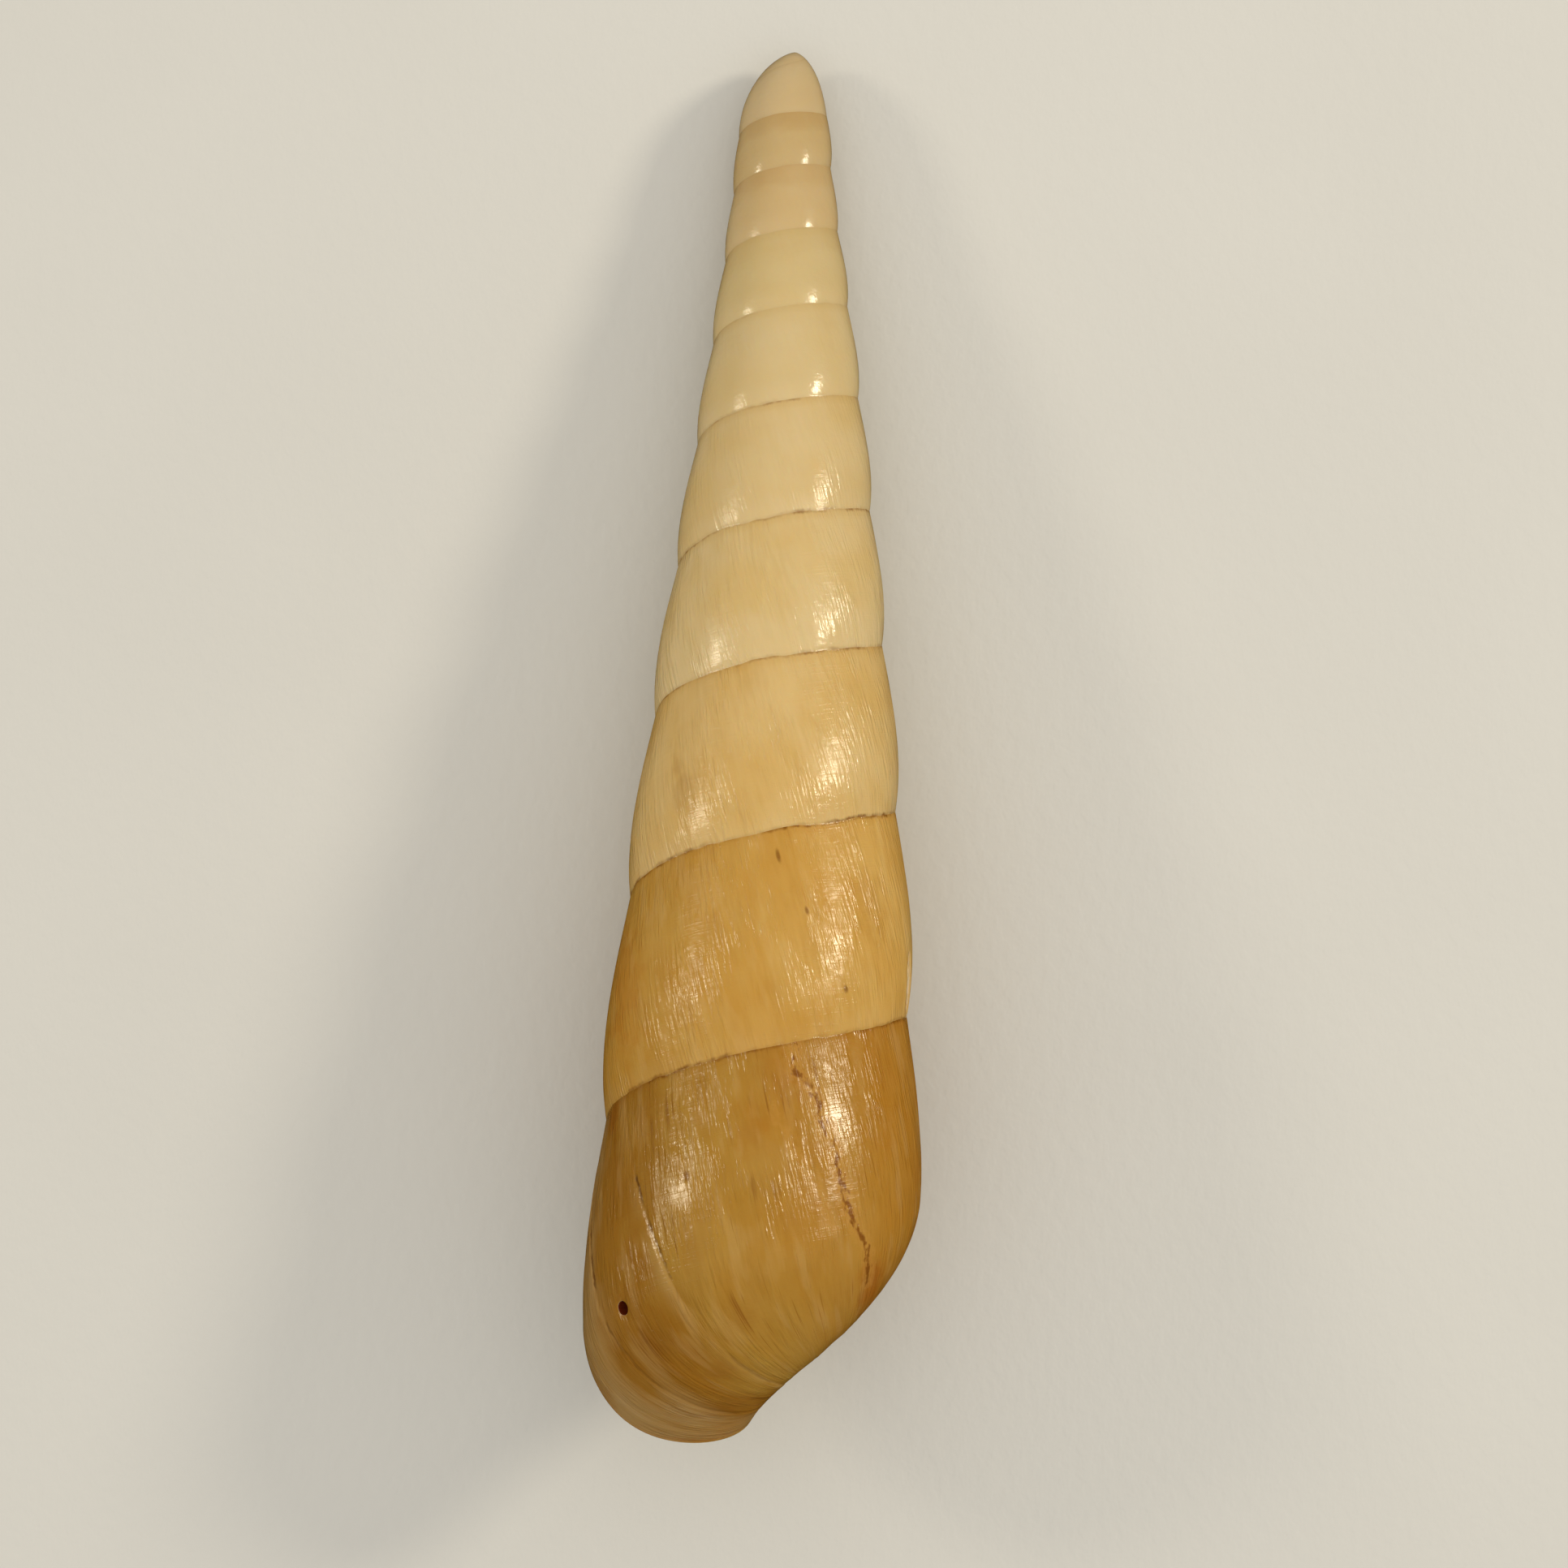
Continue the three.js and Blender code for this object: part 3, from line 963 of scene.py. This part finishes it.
def place_camera():
    """Camera whose own axes are given in the shell's upright frame and turned with the shell."""
    turned = math.radians(CAMERA_TURN)
    tipped = math.radians(CAMERA_TIP)
    tip_cos, tip_sin = math.cos(tipped), math.sin(tipped)
    right = np.array([math.cos(turned), math.sin(turned) * tip_cos, math.sin(turned) * tip_sin])
    upward = np.array([-math.sin(turned), math.cos(turned) * tip_cos, math.cos(turned) * tip_sin])
    toward = np.array([0, -tip_sin, tip_cos])
    eye = np.array([0, -REFERENCE_HEIGHT, 0]) - REFERENCE_ASIDE * right + REFERENCE_BELOW * upward
    eye = fit * (rest @ (eye + CAMERA_DISTANCE * toward)) + shift
    data = bpy.data.cameras.new("camera")
    data.sensor_width = SENSOR
    data.lens = SENSOR / 2 / HALF_VIEW
    data.clip_start = CLIP_NEAR
    data.clip_end = CLIP_FAR
    camera = bpy.data.objects.new("camera", data)
    bpy.context.collection.objects.link(camera)
    axes = Matrix([rest @ right, rest @ upward, rest @ toward]).transposed()
    camera.matrix_world = Matrix.Translation(Vector(eye * MM)) @ axes.to_4x4()
    bpy.context.scene.camera = camera


place_camera()


# Materials


def shade(red, green, blue):
    """Linear colour of a display colour given from 0 to 255."""
    return (*(((value / 255 + 0.055) / 1.055) ** 2.4 for value in (red, green, blue)), 1)


NOISE_DETAIL = 2


class Recipe:
    """A material in the making, with short names for its nodes."""

    def __init__(self, name):
        self.material = bpy.data.materials.new(name)
        self.material.use_nodes = True
        self.nodes = self.material.node_tree.nodes
        self.surface = self.nodes["Principled BSDF"]

    def put(self, socket, value):
        if isinstance(value, bpy.types.NodeSocket):
            self.material.node_tree.links.new(value, socket)
        else:
            socket.default_value = value

    def node(self, kind, *values, **settings):
        node = self.nodes.new("ShaderNode" + kind)
        for name, value in settings.items():
            setattr(node, name, value)
        for socket, value in zip(node.inputs, values):
            self.put(socket, value)
        return node

    def sum(self, first, second):
        return self.node("Math", first, second, operation="ADD").outputs[0]

    def times(self, product, *factors):
        for factor in factors:
            product = self.node("Math", product, factor, operation="MULTIPLY").outputs[0]
        return product

    def power(self, first, second):
        return self.node("Math", first, second, operation="POWER").outputs[0]

    def lower(self, first, second):
        return self.node("Math", first, second, operation="MINIMUM").outputs[0]

    def ramp(self, value, start, end, first=0, last=1):
        """Goes smoothly from first to last while the value goes from start to end."""
        node = self.node("MapRange", value, start, end, first, last, interpolation_type="SMOOTHSTEP")
        return node.outputs[0]

    def parts(self, vector):
        return self.node("SeparateXYZ", vector).outputs

    def noise(self, along, down, along_size, down_size, seed):
        """Smooth noise from 0 to 1, with its own grain along and down."""
        first = self.times(along, 1 / along_size)
        second = self.times(down, 1 / down_size)
        place = self.node("CombineXYZ", first, second, seed)
        cloud = self.node("TexNoise", noise_dimensions="3D")
        self.put(cloud.inputs["Vector"], place.outputs[0])
        self.put(cloud.inputs["Scale"], 1)
        self.put(cloud.inputs["Detail"], NOISE_DETAIL)
        return self.ramp(cloud.outputs["Fac"], 0.3, 0.7)

    def tones(self, position, stops):
        """Colour by position, between stops of position and colour."""
        node = self.node("ValToRGB", position)
        while len(node.color_ramp.elements) < len(stops):
            node.color_ramp.elements.new(1)
        for element, (at, colour) in zip(node.color_ramp.elements, stops):
            element.position = at
            element.color = colour
        return node.outputs[0]

    def blend(self, under, over, share, kind="MIX"):
        node = self.node("Mix", data_type="RGBA", blend_type=kind)
        self.put(node.inputs[0], share)
        self.put(node.inputs[6], under)
        self.put(node.inputs[7], over)
        return node.outputs[2]

    def tint(self, under, over, share):
        return self.blend(under, over, share, "MULTIPLY")

    def bump(self, height, depth):
        """Relief of the surface's normal, with its depth in millimetres."""
        node = self.node("Bump")
        self.put(node.inputs["Distance"], depth * MM)
        self.put(node.inputs["Height"], height)
        self.put(self.surface.inputs["Normal"], node.outputs[0])


class ShellRecipe(Recipe):
    """A material that knows its place on the shell."""

    def __init__(self, name):
        super().__init__(name)
        self.along, self.down, _ = self.parts(self.node("UVMap", uv_map="growth_mm").outputs[0])
        self.low, self.growth, self.inside = self.parts(self.attribute("place"))
        self.scar, self.streak, self.chip = self.parts(self.attribute("marks"))

    def attribute(self, name):
        return self.node("Attribute", attribute_name=name).outputs["Vector"]

    def grain(self, kind):
        return self.noise(self.along, self.down, *kind)

    def spot(self, centre, radii):
        """Distance from a spot's centre, 1 at its edge."""
        across = self.times(self.sum(self.along, -float(along_suture(centre[0]))), 1 / radii[0])
        beside = self.times(self.sum(self.down, -centre[1]), 1 / radii[1])
        place = self.node("CombineXYZ", across, beside, 0)
        return self.node("VectorMath", place.outputs[0], operation="LENGTH").outputs["Value"]


# Colours of the outside by growth in turns, on the middle of the whorls. The darker stops at 9.42 and 9.47,
# one side of the last whorl, are partly its own browner tone and partly painted shade.
GROWTH_TONES = (
    (0.3, shade(201, 180, 142)),
    (1.3, shade(197, 173, 128)),
    (2.3, shade(203, 179, 136)),
    (3.3, shade(207, 187, 141)),
    (4.3, shade(212, 192, 149)),
    (5.3, shade(215, 193, 148)),
    (6.3, shade(218, 196, 150)),
    (7.3, shade(217, 189, 134)),
    (8.1, shade(212, 174, 102)),
    (8.5, shade(191, 149, 69)),
    (9.0, shade(188, 140, 64)),
    (9.12, shade(178, 129, 47)),
    (9.22, shade(181, 139, 63)),
    (9.36, shade(175, 138, 62)),
    # Painted shade, in part: these two stops darken one side of the last whorl
    (9.42, shade(154, 108, 34)),
    (9.47, shade(154, 112, 42)),
    (9.50, shade(174, 142, 93)),
    (9.53, shade(170, 140, 91)),
    (9.55, shade(162, 117, 54)),
)
TONE_TURNS = 10

# Grains of the colour and finish: sizes in millimetres along and down, and the seed
TONE_WANDER_GRAIN = (2.5, 4, 1)
BAND_EDGE_GRAIN = (1.5, 1, 2)
BAND_GAP_GRAIN = (4, 30, 25)
FINE_STREAK_GRAIN = (0.2, 1.4, 3)
STREAK_PATCH_GRAIN = (1.3, 2.5, 22)
WIDE_STREAK_GRAIN = (0.7, 4, 4)
PALE_STREAK_GRAIN = (0.6, 3, 5)
HAIR_GRAIN = (0.09, 4, 23)
HAIR_PATCH_GRAIN = (1.5, 3, 24)
WARM_PATCH_GRAIN = (3.5, 3.5, 6)
STAIN_EDGE_GRAIN = (0.5, 0.8, 7)
LONG_GAP_GRAIN = (3.5, 50, 9)
SHORT_GAP_GRAIN = (0.5, 50, 19)
SUTURE_EDGE_GRAIN = (0.25, 5, 8)
SCAR_PALE_GRAIN = (3, 2.5, 20)
SCAR_WANDER_GRAIN = (0.3, 0.5, 21)
SCAR_GAP_GRAIN = (1.2, 1.8, 10)
WORN_EDGE_GRAIN = (0.2, 0.35, 11)
WORN_GAP_GRAIN = (0.25, 0.6, 12)
CHIP_GRAIN = (0.3, 0.4, 13)
LINE_PATCH_GRAIN = (0.9, 2.2, 14)
LINE_GRAIN = (0.13, 1.4, 15)
SCRATCH_GRAIN = (3, 0.07, 16)
SOFT_GRAIN = (0.3, 0.3, 17)
ROUGHNESS_GRAIN = (1.2, 1.8, 18)

# Parts of the light that a stain or streak lets through, in red, green and blue; the last one is painted
# shade in the crease below each suture
OLD_BAND = (0.90, 0.83, 0.72, 1)
DARK_STREAK = (0.84, 0.78, 0.64, 1)
WARM_PATCH = (0.95, 0.88, 0.70, 1)
HAIRLINE = (0.66, 0.54, 0.38, 1)
# Painted shade: darkens the crease just below each suture
SUTURE_SHADE_TINT = (0.88, 0.78, 0.60, 1)

PALE_STREAK = shade(226, 200, 150)
SUTURE_BROWN = shade(126, 74, 16)
SUTURE_PALE = shade(228, 206, 164)
SCAR_BROWN = shade(96, 58, 20)
SCAR_PALE = shade(212, 184, 132)
WORN_BROWN = shade(124, 70, 14)
WORN_PINK = shade(198, 148, 74)
CHIP_PALE = shade(224, 204, 170)
PIT_BROWN = shade(116, 66, 14)
# Painted shade: the dark red-brown that fills the pinhole's walls and floor
PINHOLE_SHADE_RED = shade(92, 32, 12)
PASSAGE_CREAM = shade(222, 204, 166)

# Finish: roughness, depth of the finest relief, and how far light goes in, in millimetres
SHELL_ROUGHNESS = 0.15
ROUGHNESS_SPREAD = 0.12
FINE_RELIEF_DEPTH = 0.034
SCATTERED_SHARE = 0.45
SCATTER_RADIUS = (0.6, 0.35, 0.15)

# Soft stains: place, half sizes in millimetres, the light let through, and strength
STAINS = (
    ((7.395, 4.9), (0.8, 1.2), (0.78, 0.70, 0.60, 1), 0.5),
    ((7.40, 3.6), (0.4, 0.6), (0.80, 0.72, 0.62, 1), 0.4),
    ((8.15, 3.4), (1.2, 1.8), (0.85, 0.76, 0.60, 1), 0.5),
    ((8.46, 4.5), (1.6, 3.5), (0.92, 0.74, 0.50, 1), 0.7),
    ((9.17, 10.2), (1.1, 1.5), (0.88, 0.62, 0.36, 1), 0.8),
    ((9.447, 0.6), (0.8, 0.8), (0.86, 0.66, 0.58, 1), 0.7),
    ((9.33, 10.0), (0.8, 0.9), (0.84, 0.72, 0.50, 1), 0.35),
    ((9.419, 10.0), (0.7, 0.9), (0.78, 0.68, 0.52, 1), 0.4),
    ((9.385, 11.9), (0.9, 0.5), (0.80, 0.66, 0.52, 1), 0.35),
    ((9.45, 13.6), (1.4, 0.6), (0.82, 0.70, 0.54, 1), 0.45),
    ((9.235, 1.4), (0.8, 1.2), (0.90, 0.76, 0.56, 1), 0.6),
    ((9.274, 3.0), (0.9, 1.2), (0.94, 0.80, 0.56, 1), 0.6),
)


def grown_colour(recipe):
    """Cream spire, yellow-brown last whorls, and the browner top of each early whorl; one side of the last
    whorl is darker, partly painted shade.
    """
    wander = recipe.times(recipe.sum(recipe.grain(TONE_WANDER_GRAIN), -0.5), 0.05)
    position = recipe.times(recipe.sum(recipe.growth, wander), 1 / TONE_TURNS)
    colour = recipe.tones(position, [(turn / TONE_TURNS, tone) for turn, tone in GROWTH_TONES])
    whorl = recipe.times(recipe.power(WHORL_GROWTH, recipe.growth), FIRST_WHORL_HEIGHT)
    share = recipe.node("Math", recipe.down, whorl, operation="DIVIDE").outputs[0]
    share = recipe.sum(share, recipe.times(recipe.grain(BAND_EDGE_GRAIN), 0.12))
    band = recipe.times(recipe.ramp(share, 0.5, 0.2), recipe.ramp(recipe.growth, 4.5, 1.5, 0.15, 1))
    band = recipe.times(band, recipe.ramp(recipe.grain(BAND_GAP_GRAIN), 0.1, 0.8, 0.35, 1))
    return recipe.tint(colour, OLD_BAND, recipe.times(band, recipe.ramp(recipe.growth, 0.5, 1.3)))


def streaked(recipe, colour):
    """Streaks along the growth lines and broad soft patches, stronger on the late whorls."""
    age = recipe.ramp(recipe.growth, 4, 8.5, 0.12, 1)
    fine = recipe.times(recipe.grain(FINE_STREAK_GRAIN), recipe.grain(STREAK_PATCH_GRAIN))
    wide = recipe.grain(WIDE_STREAK_GRAIN)
    colour = recipe.tint(colour, DARK_STREAK, recipe.times(fine, age, 0.5))
    colour = recipe.tint(colour, WARM_PATCH, recipe.times(wide, age, 0.5))
    pale = recipe.times(recipe.ramp(recipe.grain(PALE_STREAK_GRAIN), 0.6, 1), age)
    colour = recipe.blend(colour, PALE_STREAK, recipe.times(pale, 0.1))
    places = recipe.ramp(recipe.grain(HAIR_PATCH_GRAIN), 0.5, 0.9)
    hair = recipe.times(recipe.ramp(recipe.grain(HAIR_GRAIN), 0.8, 1), places)
    colour = recipe.tint(colour, HAIRLINE, recipe.times(hair, recipe.ramp(recipe.growth, 8.6, 9.3, 0, 0.8)))
    patches = recipe.times(recipe.grain(WARM_PATCH_GRAIN), recipe.ramp(recipe.growth, 2, 7, 0.4, 0.9))
    return recipe.tint(colour, WARM_PATCH, patches)


def stained(recipe, colour):
    """Soft stains with uneven edges."""
    for place, sizes, stain, strength in STAINS:
        edge = recipe.times(recipe.sum(recipe.grain(STAIN_EDGE_GRAIN), -0.5), 0.5)
        distance = recipe.sum(recipe.spot(place, sizes), edge)
        colour = recipe.tint(colour, stain, recipe.ramp(distance, 1.2, 0.2, 0, strength))
    return colour


def sutured(recipe, colour):
    """A thin broken brown line in the suture, painted shade as a soft darker edge just below it, and a
    paler strip just above it.
    """
    distance = recipe.lower(recipe.down, recipe.low)
    # Painted shade: a soft darkening in the crease just below the suture
    painted_shade = recipe.ramp(recipe.down, 0.5, 0.03, 0, 0.45)
    painted_shade = recipe.times(painted_shade, recipe.ramp(recipe.growth, 2, 6, 0.3, 1))
    colour = recipe.tint(colour, SUTURE_SHADE_TINT, painted_shade)
    pale = recipe.times(recipe.ramp(recipe.low, 1, 0.1, 0, 0.2), recipe.ramp(recipe.growth, 8, 5, 0.3, 1))
    pale = recipe.times(pale, recipe.ramp(recipe.growth, 1, 4, 0.3, 1))
    colour = recipe.blend(colour, SUTURE_PALE, pale)
    long_gaps = recipe.ramp(recipe.grain(LONG_GAP_GRAIN), 0.3, 0.75, 0.2, 1)
    short_gaps = recipe.ramp(recipe.grain(SHORT_GAP_GRAIN), 0.1, 0.9, 0.3, 1)
    age = recipe.ramp(recipe.growth, 3.8, 6.5, 0.06, 0.85)
    strength = recipe.times(long_gaps, short_gaps, age)
    ragged = recipe.times(recipe.grain(SUTURE_EDGE_GRAIN), 0.07)
    line = recipe.ramp(recipe.sum(distance, ragged), 0.18, 0.05)
    return recipe.blend(colour, SUTURE_BROWN, recipe.times(line, strength))


def scarred(recipe, colour):
    """Old lip marks: pale on the younger side, with a thin dark line at the step."""
    pale = recipe.times(recipe.ramp(recipe.scar, 0, 0.08), recipe.ramp(recipe.scar, 0.8, 0.1))
    faint = recipe.times(recipe.grain(SCAR_PALE_GRAIN), 0.2)
    colour = recipe.blend(colour, SCAR_PALE, recipe.times(pale, faint))
    wander = recipe.times(recipe.sum(recipe.grain(SCAR_WANDER_GRAIN), -0.5), 0.08)
    size = recipe.node("Math", recipe.sum(recipe.scar, wander), operation="ABSOLUTE").outputs[0]
    broken = recipe.ramp(recipe.grain(SCAR_GAP_GRAIN), 0.3, 0.8, 0.06, 0.8)
    strength = recipe.times(broken, recipe.ramp(recipe.down, 10, 7.5, 0.35, 1))
    return recipe.blend(colour, SCAR_BROWN, recipe.times(recipe.ramp(size, 0.09, 0.02), strength))


def worn(recipe, colour):
    """Eroded streaks: pinkish where the top layer is gone, with dirt in the deepest places."""
    ragged = recipe.sum(recipe.streak, recipe.times(recipe.grain(WORN_EDGE_GRAIN), 0.3))
    colour = recipe.blend(colour, WORN_PINK, recipe.ramp(ragged, 0.7, 0.25, 0, 0.35))
    broken = recipe.ramp(recipe.grain(WORN_GAP_GRAIN), 0.05, 0.45)
    dirt = recipe.times(recipe.ramp(ragged, 0.36, 0.1), broken)
    return recipe.blend(colour, WORN_BROWN, recipe.times(dirt, 0.85))


def pitted(recipe, colour):
    """Brown in the small pits, and pale where the shell is chipped."""
    for growth, down, width, length in PITS:
        distance = recipe.spot((growth, down), (width, length))
        colour = recipe.blend(colour, PIT_BROWN, recipe.ramp(distance, 1.2, 0.3, 0, 0.65))
    pale = recipe.times(recipe.chip, recipe.ramp(recipe.grain(CHIP_GRAIN), 0.1, 0.6, 0.5, 1))
    return recipe.blend(colour, CHIP_PALE, pale)


def inner(recipe, colour):
    """Smooth cream in the passage, and dark red-brown painted shade in the pinhole."""
    in_passage = recipe.times(recipe.ramp(recipe.inside, 0.3, 0.9), recipe.ramp(recipe.inside, 1.5, 1.1))
    colour = recipe.blend(colour, PASSAGE_CREAM, in_passage)
    # Painted shade: the pinhole's walls and floor are coloured dark red-brown
    return recipe.blend(colour, PINHOLE_SHADE_RED, recipe.ramp(recipe.inside, 1.1, 1.6))


def fine_relief(recipe):
    """Growth lines too fine for the mesh, faint scratches around the whorl, and a soft grain."""
    outside = recipe.ramp(recipe.inside, 0.5, 0.1)
    age = recipe.times(recipe.ramp(recipe.growth, 3.5, 7.5, 0.04, 1), outside)
    patch = recipe.grain(LINE_PATCH_GRAIN)
    lines = recipe.times(recipe.grain(LINE_GRAIN), recipe.times(age, patch))
    scratches = recipe.times(recipe.ramp(recipe.grain(SCRATCH_GRAIN), 0.6, 1), age)
    grain = recipe.times(recipe.grain(SOFT_GRAIN), 0.15)
    return recipe.sum(recipe.sum(lines, recipe.times(scratches, 0.08)), grain)


def glossy_shell():
    recipe = ShellRecipe("glossy_shell")
    colour = grown_colour(recipe)
    for layer in (streaked, stained, sutured, scarred, worn, pitted, inner):
        colour = layer(recipe, colour)
    surface = recipe.surface.inputs
    recipe.put(surface["Base Color"], colour)
    uneven = recipe.times(recipe.grain(ROUGHNESS_GRAIN), ROUGHNESS_SPREAD)
    recipe.put(surface["Roughness"], recipe.sum(SHELL_ROUGHNESS, uneven))
    recipe.bump(fine_relief(recipe), FINE_RELIEF_DEPTH)
    surface["Subsurface Weight"].default_value = SCATTERED_SHARE
    surface["Subsurface Radius"].default_value = SCATTER_RADIUS
    surface["Subsurface Scale"].default_value = MM
    return recipe.material


mesh.materials.append(glossy_shell())


# Floor, a plain pale board
FLOOR_HALF = 2.0
BOARD_GREY = shade(208, 209, 210)
BOARD_PALE = shade(210, 211, 212)
CLOUD_SIZE = 0.02
FIBRE_SIZES = (0.0006, 0.0008)
BOARD_RELIEF_DEPTH = 0.01


def pale_board():
    recipe = Recipe("pale_board")
    across, along, _ = recipe.parts(recipe.node("TexCoord").outputs["Object"])
    cloud = recipe.noise(across, along, CLOUD_SIZE, CLOUD_SIZE, 1)
    fibre = recipe.noise(across, along, *FIBRE_SIZES, 2)
    recipe.put(recipe.surface.inputs["Base Color"], recipe.blend(BOARD_GREY, BOARD_PALE, cloud))
    recipe.put(recipe.surface.inputs["Roughness"], recipe.ramp(fibre, 0, 1, 0.8, 0.92))
    recipe.bump(fibre, BOARD_RELIEF_DEPTH)
    return recipe.material


def add_floor():
    """One square, which stays out of the shell's gloss."""
    board = bpy.data.meshes.new("floor")
    square = ((-1, -1), (1, -1), (1, 1), (-1, 1))
    board.from_pydata([(x * FLOOR_HALF, y * FLOOR_HALF, 0) for x, y in square], [], [(0, 1, 2, 3)])
    board.materials.append(pale_board())
    floor = bpy.data.objects.new("floor", board)
    bpy.context.collection.objects.link(floor)
    floor.visible_glossy = False


add_floor()

# Soft studio light: two warm lamps, and a sky that is dark at the horizon and stays out of the gloss
LAMP_DISTANCE = 0.35
LAMP_SIZE = 0.07
LAMP_WHITE = (1, 0.88, 0.66)
LAMPS = (
    ("right_lamp", (0.78, 0.31, 0.55), 0.45),
    ("left_lamp", (-0.82, 0.2, 0.52), 0.23),
)
HORIZON_STRENGTH = 0
OVERHEAD_STRENGTH = 1.15
WARM_WHITE = (1, 0.95, 0.84, 1)


def add_lamp(name, direction, power):
    data = bpy.data.lights.new(name, "AREA")
    data.shape = "DISK"
    data.size = LAMP_SIZE
    data.energy = power
    data.color = LAMP_WHITE
    light = bpy.data.objects.new(name, data)
    bpy.context.collection.objects.link(light)
    light.location = Vector(direction).normalized() * LAMP_DISTANCE
    light.rotation_euler = (-light.location).to_track_quat("-Z", "Y").to_euler()


def add_sky():
    world = bpy.data.worlds.new("studio")
    bpy.context.scene.world = world
    world.use_nodes = True
    world.cycles_visibility.glossy = False
    nodes, links = world.node_tree.nodes, world.node_tree.links
    direction = nodes.new("ShaderNodeTexCoord")
    height = nodes.new("ShaderNodeSeparateXYZ")
    links.new(direction.outputs["Generated"], height.inputs[0])
    strength = nodes.new("ShaderNodeMapRange")
    links.new(height.outputs["Z"], strength.inputs["Value"])
    strength.inputs["To Min"].default_value = HORIZON_STRENGTH
    strength.inputs["To Max"].default_value = OVERHEAD_STRENGTH
    background = nodes["Background"]
    links.new(strength.outputs[0], background.inputs["Strength"])
    background.inputs["Color"].default_value = WARM_WHITE


for lamp in LAMPS:
    add_lamp(*lamp)
add_sky()
bpy.context.scene.view_settings.view_transform = "Standard"
